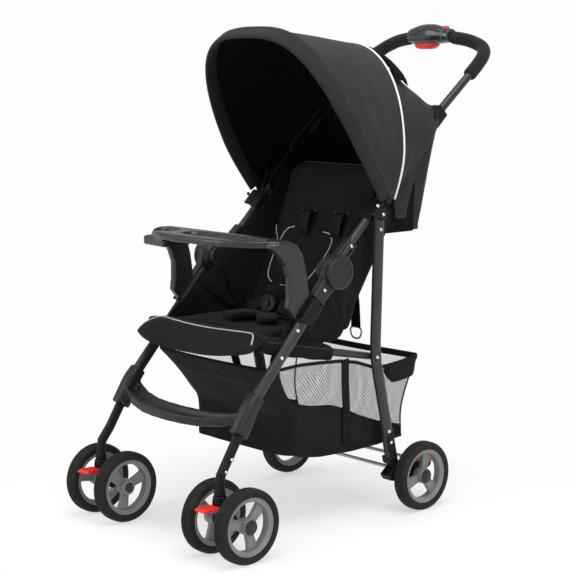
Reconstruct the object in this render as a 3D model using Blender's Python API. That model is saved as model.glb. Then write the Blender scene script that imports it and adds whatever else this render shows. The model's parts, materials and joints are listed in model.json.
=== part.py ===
# Travel stroller with a folding frame, reclining seat, child tray, canopy and basket.
# Metres, +Z up, the child faces -Y, the floor is Z = 0. The frame's side view is drawn in
# (y, z) pairs measured from the rear axle. The origin is the middle of the footprint.

import math

import bmesh
import bpy
from mathutils import Vector

# Clearances
GAP = 0.0003
RUNNING_GAP = 0.0005
SOFT_GAP = 0.001

# Wheels
WHEEL_RADIUS = 0.075
TYRE_WIDTH = 0.030
TYRE_DEPTH = 0.0145
RIM_WIDTH = 0.023
RIM_RING = 0.0095
HUB_RADIUS = 0.0155
HUB_WIDTH = 0.028
SPOKE_THICKNESS = 0.012
SPOKE_ANGLE = 34.0
AXLE_RADIUS = 0.004
WHEEL_ROUND = 24
WHEELBASE = 0.5276
REAR_WHEEL_X = 0.2135
CASTER_TRACK_X = 0.195
TWIN_SPACING = 0.099

# Front leg, measured from the fold hub down to the knee
HUB = Vector((-0.247, 0.539))
HUB_DRUM_RADIUS = 0.034
LEG_ANGLE = 227.6
LEG_LENGTH = 0.329
LEG_X = 0.192
LEG_WIDTH = 0.016
LEG_DEPTH = 0.025
FOOT_ANGLE = 238.0
STEM_TOP = 0.1688
SOCKET_LENGTH = 0.074
SOCKET_WALL = 0.004

# Casters
CASTER_TRAIL = 0.0254
STEM_RADIUS = 0.013
STEM_BOTTOM = 0.131
FORK_THICKNESS = 0.022
LOCK_LEVER_LENGTH = 0.052
LOCK_LEVER_WIDTH = 0.030
LOCK_LEVER_THICKNESS = 0.006
LOCK_LEVER_DROP = 0.018

# Handle
TUBE_OFFSET = 0.007
TUBE_ANGLE = 44.4
TUBE_RADIUS = 0.009
TUBE_X = 0.1745
TUBE_LENGTH = 0.473
PUSH_BAR_ANGLE = 38.8
PUSH_BAR_REACH = 0.134
PUSH_BAR_RISE = 0.026
GRIP_RADIUS = 0.0145
GRIP_START = 0.125
MODULE_HALF_WIDTH = 0.065
MODULE_DEPTH = 0.050
MODULE_HEIGHT = 0.052
LEVER_WIDTH = 0.080
LEVER_TRAVEL = 0.006
LEVER_INSERT = 0.0024
LEVER_DEPTH = 0.018
LEVER_HALF_DEPTH = 0.013
LEVER_BACK = 0.004
BUTTON_X = 0.044
MODULE_LIFT = 0.004
BUTTON_INSERT = 0.0035
BUTTON_RADIUS = 0.008
BUTTON_TRAVEL = 0.003
CLIP_LENGTH = 0.040
CLIP_SETBACK = 0.012

# Rear legs
TOP_JOINT = 0.1692
TOP_JOINT_OFFSET = -0.0078
REAR_LEG_X = 0.1915
REAR_LEG_WIDTH = 0.015
REAR_LEG_DEPTH = 0.027
REAR_KNEE_Z = 0.348
LOWER_LEG_LENGTH = 0.225
LOWER_LEG_ANGLE = -77.0
BRAKE_BAR = Vector((0.040, 0.093))
PEDAL_WIDTH = 0.046
PEDAL_REACH = 0.048
BRAKE_LUG_RADIUS = 0.0095
REAR_FOOT_INNER = 0.022

# Seat
RAIL_RADIUS = 0.008
SEAT_PIVOT = 0.1905
SEAT_FRONT_Y = -0.425
SEAT_WIDTH = 0.3344
SEAT_THICKNESS = 0.030
SEAT_TOP = 0.418
SEAT_SETBACK = 0.0094
BACKREST_WIDTH = 0.318
BACKREST_LENGTH = 0.3815
BACKREST_FOOT = 0.0025
BACKREST_SETBACK = 0.008
BACKREST_THICKNESS = 0.034
BACKREST_ANGLE = 66.5
RECLINE_PIVOT = Vector((-0.187, 0.398))
LEG_REST_THICKNESS = 0.014
BUCKLE = Vector((-0.252, 0.452))
BUCKLE_WIDTH = 0.050
BUCKLE_HEIGHT = 0.044
BUCKLE_THICKNESS = 0.016
STALK_WIDTH = 0.024

# Tray
TRAY_TOP = HUB.y + 0.074
TRAY_THICKNESS = 0.015
TRAY_HALF_WIDTH = 0.190
TRAY_REAR_Y = HUB.x - 0.119
TRAY_DEPTH = 0.108
TRAY_FRONT_Y = TRAY_REAR_Y - TRAY_DEPTH
TRAY_WELL_DEPTH = 0.008
ARM_THICKNESS = 0.018
CUP_BOX_HEIGHT = 0.018
BRACKET_START = 0.066
BRACKET_END = 0.128
FOOT_START = 0.076

# Footrest
FOOTREST_Z = 0.243
FOOTREST_FRONT_Y = -0.538
FOOTREST_DEPTH = 0.052
FOOTREST_THICKNESS = 0.020
SLEEVE_WALL = 0.004

# Canopy
CANOPY_PIVOT = Vector((-0.098, 0.677))
FRONT_BOW_X = 0.203
MID_BOW_X = 0.1890
FRONT_BOW_ANGLE = 128.0
FRONT_BOW_HEIGHT = 0.402
FRONT_BOW_HALF_WIDTH = 0.214
FRONT_BOW_SQUARENESS = 3.2
FRONT_BOW_LEAN = -8.5
EYE_RADIUS = 0.0095
FRONT_BINDING_DEPTH = 0.020
MID_BOW_ANGLE = 76.0
MID_BOW_HEIGHT = 0.328
MID_BOW_HALF_WIDTH = 0.2055
MID_BOW_SQUARENESS = 2.1
BOW_THICKNESS = 0.005
MID_BOW_DEPTH = 0.012
FABRIC = 0.0016
PANEL_GAP = 0.0006
CANOPY_REAR_ANGLE = 46.0
CANOPY_REAR_HEIGHT = 0.262

# Rear curtain
CURTAIN_DROP = 0.0166
CURTAIN_BOTTOM_Z = 0.598
CURTAIN_REAR_Y = 0.096

# Basket
BASKET_HALF_WIDTH = 0.1837
BASKET_TAPER = 0.027
BASKET_FLOOR = [(-0.334, 0.166), (-0.230, 0.153), (-0.110, 0.146), (-0.024, 0.156)]
BASKET_RIM = [(-0.412, 0.350), (-0.230, 0.320), (-0.110, 0.302), (0.012, 0.318)]
BASKET_FRONT = [(-0.334, 0.169), (-0.376, 0.343)]
BASKET_FABRIC = 0.0025

ROUND = 20
SMALL_ROUND = 12


def direction(angle):
    return Vector((math.cos(math.radians(angle)), math.sin(math.radians(angle))))


def along(start, angle, distance, across=0.0):
    """The (y, z) point this far from start, and this far to the left of that line."""
    ahead = direction(angle)
    return start + distance * ahead + across * Vector((-ahead.y, ahead.x))


def leg_point(distance, forward=0.0):
    """A point on the front leg's line, this far from the hub and towards its upper front side."""
    return along(HUB, LEG_ANGLE, distance, -forward)


TUBE_START = along(HUB, TUBE_ANGLE, 0.0, -TUBE_OFFSET)


def tube_point(distance, forward=0.0):
    """A point on the handle tube's line, likewise."""
    return along(TUBE_START, TUBE_ANGLE, distance, forward)


KNEE = leg_point(LEG_LENGTH)
FOOT_LENGTH = (KNEE.y - STEM_TOP) / -math.sin(math.radians(FOOT_ANGLE))
SEAT_AXIS = leg_point(SEAT_PIVOT)
CLIP_POINT = tube_point(TUBE_LENGTH)
TOP_AXIS = tube_point(TOP_JOINT, TOP_JOINT_OFFSET)
CLIP_START = TUBE_LENGTH - CLIP_LENGTH - CLIP_SETBACK
CURTAIN_TOP_Z = tube_point(CLIP_START).y - CURTAIN_DROP
REAR_KNEE = Vector((TOP_AXIS.x - 0.008, REAR_KNEE_Z))
REAR_FOOT = along(REAR_KNEE, LOWER_LEG_ANGLE, LOWER_LEG_LENGTH)
FRONT_AXLE = Vector((-WHEELBASE, WHEEL_RADIUS))
REAR_AXLE = Vector((0.0, WHEEL_RADIUS))
STEM_Y = -WHEELBASE - CASTER_TRAIL


def material(name, color, roughness, metallic=0.0):
    made = bpy.data.materials.new(name)
    made.use_nodes = True
    shader = made.node_tree.nodes["Principled BSDF"]
    shader.inputs["Base Color"].default_value = (*color, 1.0)
    shader.inputs["Roughness"].default_value = roughness
    shader.inputs["Metallic"].default_value = metallic
    return made


def empty(name, x, side_point, parent):
    """An axis empty at a point of the side view, in the stroller's own frame."""
    made = bpy.data.objects.new(name, None)
    made.empty_display_size = 0.03
    bpy.context.scene.collection.objects.link(made)
    place = Vector((x, side_point[0], side_point[1]))
    made["place"] = list(place)
    if parent:
        made.parent = parent
        made.location = place - Vector(parent["place"])
    return made


def add_object(name, shape, parent, surface):
    """Turns a bmesh in the stroller's frame into an object whose origin is its parent's axis."""
    bmesh.ops.translate(shape, verts=shape.verts, vec=-Vector(parent["place"]))
    bmesh.ops.recalc_face_normals(shape, faces=shape.faces)
    mesh = bpy.data.meshes.new(name)
    shape.to_mesh(mesh)
    shape.free()
    mesh.shade_smooth()
    mesh.set_sharp_from_angle(angle=math.radians(35))
    mesh.materials.append(surface)
    made = bpy.data.objects.new(name, mesh)
    made.parent = parent
    bpy.context.scene.collection.objects.link(made)
    return made


def combine(target, shape, operation):
    """Cuts or joins a second closed shape, kept as a hidden helper of the target."""
    name = f"{target.name}.{operation.lower()}.{len(target.modifiers)}"
    helper = add_object(name, shape, target.parent, target.data.materials[0])
    helper.hide_render = True
    helper.display_type = "WIRE"
    step = target.modifiers.new(operation.title(), "BOOLEAN")
    step.operation = operation
    step.object = helper


def cut(target, shape):
    combine(target, shape, "DIFFERENCE")


def join(target, shape):
    combine(target, shape, "UNION")


def soften(target, width, segments=1, angle=40):
    step = target.modifiers.new("Bevel", "BEVEL")
    step.width = width
    step.segments = segments
    step.limit_method = "ANGLE"
    step.angle_limit = math.radians(angle)


def loft(rings, closed=False):
    """A closed solid through rings of equally many points, capped at its ends or joined round."""
    shape = bmesh.new()
    rows = [[shape.verts.new(point) for point in ring] for ring in rings]
    pairs = list(zip(rows, rows[1:])) + ([(rows[-1], rows[0])] if closed else [])
    count = len(rings[0])
    for first, second in pairs:
        for i in range(count):
            j = (i + 1) % count
            shape.faces.new((first[i], first[j], second[j], second[i]))
    if not closed:
        shape.faces.new(rows[0][::-1])
        shape.faces.new(rows[-1])
    return shape


def oval(half_u, half_v, count=SMALL_ROUND, squareness=2.0):
    """A section from round (2) towards square (larger), as (u, v) pairs."""
    points = []
    for i in range(count):
        turn = 2 * math.pi * (i + 0.5) / count
        u, v = math.cos(turn), math.sin(turn)
        power = 2 / squareness
        points.append((math.copysign(abs(u) ** power * half_u, u), math.copysign(abs(v) ** power * half_v, v)))
    return points


def sweep(path, sections, closed=False):
    """Carries sections along a path of 3-D points. u starts along X and never twists."""
    points = [Vector(point) for point in path]
    if not isinstance(sections[0], list):
        sections = [sections] * len(points)
    count = len(points)
    rings = []
    side = Vector((1, 0, 0))
    for i, point in enumerate(points):
        ahead = points[(i + 1) % count] - point if closed or i < count - 1 else point - points[i - 1]
        behind = point - points[i - 1] if closed or i else ahead
        tangent = (ahead.normalized() + behind.normalized()).normalized()
        side = (side - side.dot(tangent) * tangent).normalized()
        other = tangent.cross(side)
        rings.append([point + u * side + v * other for u, v in sections[i]])
    return loft(rings, closed)


def at_x(side_points, x):
    return [Vector((x, point[0], point[1])) for point in side_points]


def plate(outline, x_start, x_end):
    """A side-view outline given thickness along X."""
    return loft([at_x(outline, x_start), at_x(outline, x_end)])


def slab(outline, z_start, z_end):
    """A plan outline of (x, y) pairs given thickness along Z."""
    return loft([[Vector((x, y, z)) for x, y in outline] for z in (z_start, z_end)])


def turned_x(center, profile, count=ROUND, closed=False):
    """A shape turned about the X line through center, from (x, radius) pairs."""
    rings = []
    for x, radius in profile:
        ring = []
        for i in range(count):
            turn = 2 * math.pi * i / count
            ring.append(Vector((x, center[0] + radius * math.cos(turn), center[1] + radius * math.sin(turn))))
        rings.append(ring)
    return loft(rings, closed)


def turned_z(x, y, profile, count=ROUND):
    """A shape turned about the upright line through (x, y), from (z, radius) pairs."""
    rings = []
    for z, radius in profile:
        ring = []
        for i in range(count):
            turn = 2 * math.pi * i / count
            ring.append(Vector((x + radius * math.cos(turn), y + radius * math.sin(turn), z)))
        rings.append(ring)
    return loft(rings)


def rod_x(center, x_start, x_end, radius, count=SMALL_ROUND):
    return turned_x(center, [(x_start, radius), (x_end, radius)], count)


def mirrored(shape):
    """The same shape on the stroller's right."""
    bmesh.ops.scale(shape, verts=shape.verts, vec=(-1, 1, 1))
    return shape


def handed(shape, side):
    return shape if side > 0 else mirrored(shape)


def thin_shell(outer, inner):
    """A closed thin solid between two grids of points with the same rows and columns."""
    shape = bmesh.new()
    fronts = [[shape.verts.new(point) for point in row] for row in outer]
    backs = [[shape.verts.new(point) for point in row] for row in inner]
    rows, columns = len(outer), len(outer[0])
    for i in range(rows - 1):
        for j in range(columns - 1):
            shape.faces.new((fronts[i][j], fronts[i][j + 1], fronts[i + 1][j + 1], fronts[i + 1][j]))
            shape.faces.new((backs[i][j], backs[i + 1][j], backs[i + 1][j + 1], backs[i][j + 1]))
    for i in range(rows - 1):
        for j in (0, columns - 1):
            shape.faces.new((fronts[i][j], fronts[i + 1][j], backs[i + 1][j], backs[i][j]))
    for j in range(columns - 1):
        for i in (0, rows - 1):
            shape.faces.new((fronts[i][j], fronts[i][j + 1], backs[i][j + 1], backs[i][j]))
    return shape


def cushion(line, widths, thickness, columns, grooves=(), edge=0.35):
    """A padded slab. line runs down its middle as (y, z) of its back, widths are half widths.
    The face crowns over the width, falls to a thin edge, and dips at each groove."""
    outer = []
    inner = []
    for i, point in enumerate(line):
        ahead = Vector(line[min(i + 1, len(line) - 1)]) - Vector(line[max(i - 1, 0)])
        normal = Vector((-ahead.y, ahead.x)).normalized()
        ends = min(1.0, 0.55 + 0.6 * min(i, len(line) - 1 - i))
        face = []
        back = []
        for j in range(columns + 1):
            share = 2 * j / columns - 1
            full = edge + (1 - edge) * (1 - abs(share) ** 3) ** 0.5
            dip = sum(depth * math.exp(-(((abs(share) - where) / 0.07) ** 2)) for where, depth in grooves)
            height = thickness * (full * ends - dip)
            x = share * widths[i]
            front = Vector(point) + normal * height
            face.append(Vector((x, front.x, front.y)))
            back.append(Vector((x, point[0], point[1])))
        outer.append(face)
        inner.append(back)
    return thin_shell(outer, inner)


def tyre_profile(x_center):
    inner = WHEEL_RADIUS - TYRE_DEPTH
    half = TYRE_WIDTH / 2
    shares = [(-0.74, 0.0), (0.74, 0.0), (1.0, 0.35), (0.90, 0.78), (0.5, 1.0), (-0.5, 1.0), (-0.90, 0.78), (-1.0, 0.35)]
    return [(x_center + u * half, inner + v * TYRE_DEPTH) for u, v in shares]


def add_wheel(name, center, x_center, outward, parent, looks):
    """Tyre and rim. The rim is dished from both faces, with three spokes and a bored hub."""
    tyre = turned_x(center, tyre_profile(x_center), WHEEL_ROUND, True)
    add_object(name.replace("wheel", "tyre"), tyre, parent, looks["tyre"])
    rim_radius = WHEEL_RADIUS - TYRE_DEPTH - GAP
    ring_inner = rim_radius - RIM_RING
    half_rim = RIM_WIDTH / 2
    half_spoke = SPOKE_THICKNESS / 2
    half_hub = HUB_WIDTH / 2
    bore = AXLE_RADIUS + GAP
    profile = [
        (half_hub, bore),
        (half_hub, HUB_RADIUS - 0.003),
        (half_hub - 0.003, HUB_RADIUS),
        (half_spoke, HUB_RADIUS + 0.001),
        (half_spoke, ring_inner - 0.002),
        (half_rim, ring_inner + 0.002),
        (half_rim, rim_radius),
        (-half_rim, rim_radius),
        (-half_rim, ring_inner + 0.002),
        (-half_spoke, ring_inner - 0.002),
        (-half_spoke, HUB_RADIUS),
        (-half_hub, HUB_RADIUS),
        (-half_hub, bore),
    ]
    profile = [(x_center + outward * x, radius) for x, radius in profile]
    rim = add_object(name.replace("wheel", "rim"), turned_x(center, profile, WHEEL_ROUND, True), parent, looks["rim"])
    window_inner = HUB_RADIUS + 0.004
    window_outer = ring_inner - 0.003
    for third in range(3):
        start = 90 + 120 * third + SPOKE_ANGLE / 2
        end = 90 + 120 * (third + 1) - SPOKE_ANGLE / 2
        angles = [start + (end - start) * i / 3 for i in range(4)]
        inner_arc = [Vector(center) + window_inner * direction(angle) for angle in (start + 8, end - 8)]
        outer_arc = [Vector(center) + window_outer * direction(angle) for angle in reversed(angles)]
        cut(rim, plate(inner_arc + outer_arc, x_center - RIM_WIDTH, x_center + RIM_WIDTH))


def add_front_leg(side, name, parent, looks):
    start = SOCKET_LENGTH * 0.55
    points = at_x([leg_point(start), leg_point(LEG_LENGTH - GAP)], LEG_X)
    section = oval(LEG_WIDTH / 2, LEG_DEPTH / 2, 12, 2.6)
    add_object(f"front_leg_{name}", handed(sweep(points, section), side), parent, looks["tube"])


def add_leg_foot(side, name, parent, looks):
    """The black casting from the knee to the caster's upright stem."""
    slant_end = along(KNEE, FOOT_ANGLE, FOOT_LENGTH)
    wedge = LEG_DEPTH / 2 * math.tan(math.radians(FOOT_ANGLE - LEG_ANGLE)) + GAP
    path = [
        along(KNEE, FOOT_ANGLE, wedge),
        along(KNEE, FOOT_ANGLE, 0.03),
        along(KNEE, FOOT_ANGLE, FOOT_LENGTH * 0.8),
        Vector((STEM_Y + 0.001, slant_end.y)),
        Vector((STEM_Y, slant_end.y - 0.014)),
        Vector((STEM_Y, STEM_BOTTOM + GAP)),
    ]
    knee_section = oval(LEG_WIDTH / 2, LEG_DEPTH / 2, 12, 2.6)
    main = oval(0.0105, 0.0145, 12, 3.0)
    stem = oval(STEM_RADIUS, STEM_RADIUS, 12)
    places = [Vector((LEG_X, p.x, p.y)) for p in path[:3]] + [Vector((CASTER_TRACK_X, p.x, p.y)) for p in path[3:]]
    shape = sweep(places, [knee_section, main, main, main, stem, stem])
    add_object(f"leg_foot_{name}", handed(shape, side), parent, looks["casting"])


def leg_ring(distance, half, x_inner, x_outer):
    corner = 0.003
    back, front = -half, half
    pairs = [
        (x_inner, back), (x_inner, front), (x_outer - corner, front),
        (x_outer, front - corner), (x_outer, back + corner), (x_outer - corner, back),
    ]
    return [Vector((x, *leg_point(distance, forward))) for x, forward in pairs]


def tube_ring(distance, half, x_inner, x_outer):
    corner = 0.003
    pairs = [
        (x_outer, -half), (x_outer, half), (x_inner + corner, half),
        (x_inner, half - corner), (x_inner, corner - half), (x_inner + corner, -half),
    ]
    return [Vector((x, *tube_point(distance, forward))) for x, forward in pairs]


def add_hub(side, name, lower_parent, upper_parent, looks):
    """Two half hubs turning on each other, each with a socket for its tube, and a cover disc."""
    leg_inner = LEG_X - LEG_WIDTH / 2
    leg_outer = LEG_X + LEG_WIDTH / 2 + SOCKET_WALL
    middle = TUBE_X + TUBE_RADIUS + 0.002
    drum = rod_x(HUB, middle + RUNNING_GAP, leg_outer, HUB_DRUM_RADIUS, 24)
    lower = add_object(f"hub_lower_{name}", handed(drum, side), lower_parent, looks["plastic"])
    half = LEG_DEPTH / 2 + SOCKET_WALL
    rings = [
        leg_ring(0.012, HUB_DRUM_RADIUS * 0.8, middle + RUNNING_GAP, leg_outer - 0.001),
        leg_ring(HUB_DRUM_RADIUS + 0.002, half + 0.003, middle + RUNNING_GAP, leg_outer - 0.001),
        leg_ring(HUB_DRUM_RADIUS + 0.005, half + 0.002, leg_inner, leg_outer - 0.001),
        leg_ring(SOCKET_LENGTH, half, leg_inner, leg_outer - 0.001),
    ]
    join(lower, handed(loft(rings), side))
    channel = [
        [Vector((x, *leg_point(distance, forward))) for x, forward in oval_channel]
        for distance in (SOCKET_LENGTH * 0.55 - GAP, SOCKET_LENGTH + 0.01)
        for oval_channel in [[
            (leg_inner - 0.004, -LEG_DEPTH / 2 - GAP), (leg_inner - 0.004, LEG_DEPTH / 2 + GAP),
            (leg_inner + LEG_WIDTH - 0.004, LEG_DEPTH / 2 + GAP), (leg_inner + LEG_WIDTH + GAP, LEG_DEPTH / 2 - 0.005),
            (leg_inner + LEG_WIDTH + GAP, -LEG_DEPTH / 2 + 0.005), (leg_inner + LEG_WIDTH - 0.004, -LEG_DEPTH / 2 - GAP),
        ]]
    ]
    cut(lower, handed(loft(channel), side))

    cap_start = leg_outer + GAP
    cap_profile = [
        (cap_start, HUB_DRUM_RADIUS - 0.002),
        (cap_start + 0.003, HUB_DRUM_RADIUS + 0.001),
        (cap_start + 0.009, HUB_DRUM_RADIUS + 0.001),
        (cap_start + 0.0117, HUB_DRUM_RADIUS - 0.003),
        (cap_start + 0.0117, HUB_DRUM_RADIUS - 0.006),
        (cap_start + 0.0100, HUB_DRUM_RADIUS - 0.008),
    ]
    add_object(f"hub_cap_{name}", handed(turned_x(HUB, cap_profile, 28), side), lower_parent, looks["plastic"])

    tube_inner = TUBE_X - TUBE_RADIUS - 0.0025
    tube_outer = TUBE_X + TUBE_RADIUS
    drum = rod_x(HUB, tube_inner, middle, HUB_DRUM_RADIUS, 24)
    upper = add_object(f"hub_upper_{name}", handed(drum, side), upper_parent, looks["plastic"])
    half = TUBE_RADIUS + SOCKET_WALL
    rings = [
        tube_ring(0.010, HUB_DRUM_RADIUS * 0.75, tube_inner + 0.001, tube_outer),
        tube_ring(HUB_DRUM_RADIUS + 0.004, half + 0.004, tube_inner + 0.001, tube_outer),
        tube_ring(0.088, half, tube_inner + 0.001, tube_outer),
    ]
    join(upper, handed(loft(rings), side))
    cutter_radius = TUBE_RADIUS + GAP
    channel = []
    for distance in (0.046 - GAP, 0.098):
        pairs = [(tube_outer + 0.004, -cutter_radius), (tube_outer + 0.004, cutter_radius)]
        for i in range(6):
            turn = math.radians(105 + 30 * i)
            pairs.append((TUBE_X + cutter_radius * math.cos(turn), cutter_radius * math.sin(turn)))
        channel.append([Vector((x, *tube_point(distance, forward))) for x, forward in pairs])
    cut(upper, handed(loft(channel), side))


def handle_path():
    """The left half of the handle tube, from its socket to the middle of the push bar."""
    push_end = along(CLIP_POINT, PUSH_BAR_ANGLE, PUSH_BAR_REACH)
    rear = push_end.x + 0.050
    top = push_end.y + 0.045
    points = [
        (TUBE_X, *tube_point(0.046)),
        (TUBE_X, *tube_point(TUBE_LENGTH * 0.5)),
        (TUBE_X, *tube_point(TUBE_LENGTH - 0.02)),
        (TUBE_X, *CLIP_POINT),
        (TUBE_X, *along(CLIP_POINT, PUSH_BAR_ANGLE, 0.02)),
        (TUBE_X, *push_end),
        (TUBE_X - 0.004, push_end.x + 0.028, push_end.y + 0.024),
        (TUBE_X - 0.018, rear - 0.005, top - 0.006),
        (TUBE_X - 0.042, rear, top + 0.006),
        (TUBE_X - 0.085, rear - 0.001, top + 0.017),
        (0.0, rear - 0.003, top + PUSH_BAR_RISE),
    ]
    return [Vector(point) for point in points]


def both_sides(half):
    return half + [Vector((-point.x, point.y, point.z)) for point in reversed(half[:-1])]


def add_handle(parent, looks):
    half = handle_path()
    section = oval(TUBE_RADIUS, TUBE_RADIUS, 12)
    add_object("handle_tube", sweep(both_sides(half), section), parent, looks["tube"])
    center = half[-1]
    for side, name in ((1, "left"), (-1, "right")):
        inner_end = half[-2].lerp(center, 1 - (MODULE_HALF_WIDTH + SOFT_GAP) / half[-2].x)
        path = [half[4].lerp(half[5], 0.75), *half[5:-1], inner_end]
        outer = oval(GRIP_RADIUS, GRIP_RADIUS, 12)
        grip = add_object(f"grip_{name}", handed(sweep(path, outer), side), parent, looks["foam"])
        longer = [path[0] + (path[0] - path[1]).normalized() * 0.01, *path, path[-1] + (path[-1] - path[-2]).normalized() * 0.01]
        bore = oval(TUBE_RADIUS + GAP, TUBE_RADIUS + GAP, 12)
        cut(grip, handed(sweep(longer, bore), side))
    add_module(center, section, parent, looks)
    return center


def add_module(center, tube_section, parent, looks):
    """The housing round the middle of the push bar, which holds the fold lever and the lock."""
    half_deep = MODULE_DEPTH / 2
    half_high = MODULE_HEIGHT / 2
    shares = ((-1.0, 0.62), (-0.9, 0.72), (-0.62, 0.88), (-0.3, 0.98), (0.0, 1.0), (0.3, 0.98), (0.62, 0.88), (0.9, 0.72), (1.0, 0.62))
    rings = []
    for along_x, share in shares:
        ring = []
        for u, v in oval(half_deep * share, half_high * share, 16, 2.3):
            ring.append(Vector((along_x * MODULE_HALF_WIDTH, center.y + u, center.z + v + MODULE_LIFT)))
        rings.append(ring)
    housing = add_object("handle_module", loft(rings), parent, looks["dark_gloss"])
    bore = oval(TUBE_RADIUS + GAP, TUBE_RADIUS + GAP, 12)
    drop = (handle_path()[-2] - center) * ((MODULE_HALF_WIDTH + 0.02) / handle_path()[-2].x)
    ends = [center + drop, center, Vector((center.x - drop.x, center.y + drop.y, center.z + drop.z))]
    cut(housing, sweep(ends, bore))
    half = LEVER_WIDTH / 2 + RUNNING_GAP
    slot_top = lever_top(center) + LEVER_TRAVEL + RUNNING_GAP
    y = center.y - LEVER_BACK
    wide = LEVER_HALF_DEPTH + RUNNING_GAP
    slot = [(-half, y - wide), (half, y - wide), (half, y + wide), (-half, y + wide)]
    cut(housing, slab(slot, center.z - MODULE_HEIGHT, slot_top))
    base = button_base(center) - BUTTON_TRAVEL - GAP
    hole = [(base, BUTTON_RADIUS + GAP), (base + MODULE_HEIGHT, BUTTON_RADIUS + GAP)]
    cut(housing, turned_z(BUTTON_X, center.y, hole, 12))


def lever_top(center):
    return center.z + MODULE_LIFT - MODULE_HEIGHT / 2 + LEVER_INSERT


def button_base(center):
    """The button's lower end, inside its hole in the housing's falling top."""
    return center.z + MODULE_LIFT + MODULE_HEIGHT / 2 * 0.86 - BUTTON_INSERT


def add_fold_lever(center, parent, looks):
    """The red squeeze lever under the housing. It slides up into its slot."""
    top = lever_top(center)
    half = LEVER_WIDTH / 2
    rings = []
    for share, drop in ((-1.0, 0.55), (-0.8, 0.85), (-0.4, 1.0), (0.4, 1.0), (0.8, 0.85), (1.0, 0.55)):
        bottom = top - LEVER_DEPTH * drop
        y = center.y - LEVER_BACK
        rings.append([
            Vector((share * half, y - LEVER_HALF_DEPTH, top)), Vector((share * half, y + LEVER_HALF_DEPTH, top)),
            Vector((share * half, y + 0.011, bottom + 0.004)), Vector((share * half, y + 0.006, bottom)),
            Vector((share * half, y - 0.006, bottom)), Vector((share * half, y - 0.011, bottom + 0.004)),
        ])
    add_object("fold_lever", loft(rings), parent, looks["red"])


def add_lock_button(center, parent, looks):
    start = button_base(center)
    end = start + BUTTON_INSERT + BUTTON_TRAVEL + 0.002
    profile = [(start, BUTTON_RADIUS), (end - 0.002, BUTTON_RADIUS), (end, BUTTON_RADIUS - 0.003)]
    add_object("lock_button", turned_z(BUTTON_X, center.y, profile, 12), parent, looks["red"])


def add_top_joint(side, name, parent, looks):
    """A clamp on the handle tube, with an outer lobe that carries the rear leg between its cheeks."""
    tube_inner = TUBE_X - TUBE_RADIUS - 0.004
    face = TUBE_X + TUBE_RADIUS + 0.0001
    leg_outer = REAR_LEG_X + REAR_LEG_WIDTH / 2 + GAP
    outer = leg_outer + 0.005
    half = REAR_LEG_DEPTH / 2 + 0.0008
    web = TOP_JOINT_OFFSET + half
    clamp_outline = [
        tube_point(TOP_JOINT - 0.024, -TUBE_RADIUS - 0.004),
        tube_point(TOP_JOINT + 0.022, -TUBE_RADIUS - 0.004),
        tube_point(TOP_JOINT + 0.022, TUBE_RADIUS + 0.006),
        tube_point(TOP_JOINT - 0.024, TUBE_RADIUS + 0.006),
    ]
    clamp = add_object(f"top_joint_{name}", handed(plate(clamp_outline, tube_inner, face), side), parent, looks["plastic"])
    web_outline = [
        tube_point(TOP_JOINT - 0.020, web + 0.0005),
        tube_point(TOP_JOINT + 0.020, web + 0.0005),
        tube_point(TOP_JOINT + 0.020, TUBE_RADIUS + 0.0055),
        tube_point(TOP_JOINT - 0.020, TUBE_RADIUS + 0.0055),
    ]
    join(clamp, handed(plate(web_outline, face - 0.004, outer - 0.001), side))
    lobe = [TOP_AXIS + 0.0125 * direction(TUBE_ANGLE - 180 + 22.5 * i) for i in range(9)]
    cheek = [tube_point(TOP_JOINT + 0.019, TUBE_RADIUS + 0.005), tube_point(TOP_JOINT - 0.019, TUBE_RADIUS + 0.005)]
    join(clamp, handed(plate(lobe + cheek, leg_outer, outer), side))
    ends = at_x([tube_point(TOP_JOINT - 0.05), tube_point(TOP_JOINT + 0.05)], TUBE_X)
    cut(clamp, handed(sweep(ends, oval(TUBE_RADIUS + GAP, TUBE_RADIUS + GAP, 12)), side))


def add_canopy_clip(side, name, parent, looks):
    """A wedge clamped round the tube where it bends, which holds the canopy's rear corner."""
    start = CLIP_START
    outline = [
        tube_point(start, -TUBE_RADIUS - 0.003), tube_point(start + CLIP_LENGTH, -TUBE_RADIUS - 0.004),
        tube_point(start + CLIP_LENGTH, TUBE_RADIUS + 0.008), tube_point(start + 0.006, TUBE_RADIUS + 0.004),
    ]
    shape = plate(outline, TUBE_X - TUBE_RADIUS - 0.003, TUBE_X + TUBE_RADIUS + 0.003)
    clip = add_object(f"canopy_clip_{name}", handed(shape, side), parent, looks["plastic"])
    ends = at_x([tube_point(start - 0.01), tube_point(start + CLIP_LENGTH + 0.01)], TUBE_X)
    cut(clip, handed(sweep(ends, oval(TUBE_RADIUS + GAP, TUBE_RADIUS + GAP, 12)), side))


def add_rear_leg(side, name, parent, looks):
    """A flat-oval tube from the top joint down to the bend and on to the rear foot."""
    section = oval(REAR_LEG_WIDTH / 2, REAR_LEG_DEPTH / 2, 12, 2.6)
    top = TOP_AXIS + (TOP_AXIS - REAR_KNEE).normalized() * REAR_LEG_DEPTH * 0.42
    thin = oval(REAR_LEG_WIDTH / 2, REAR_LEG_DEPTH * 0.26, 12, 2.6)
    wide = oval(REAR_LEG_WIDTH / 2, REAR_LEG_DEPTH * 0.44, 12, 2.6)
    path = [
        top,
        TOP_AXIS + (TOP_AXIS - REAR_KNEE).normalized() * REAR_LEG_DEPTH * 0.25,
        TOP_AXIS,
        REAR_KNEE + Vector((0.0, 0.03)),
        along(REAR_KNEE, LOWER_LEG_ANGLE, 0.012),
        along(REAR_KNEE, LOWER_LEG_ANGLE, LOWER_LEG_LENGTH - GAP),
    ]
    shape = sweep(at_x(path, REAR_LEG_X), [thin, wide, section, section, section, section])
    add_object(f"rear_leg_{name}", handed(shape, side), parent, looks["tube"])


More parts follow.
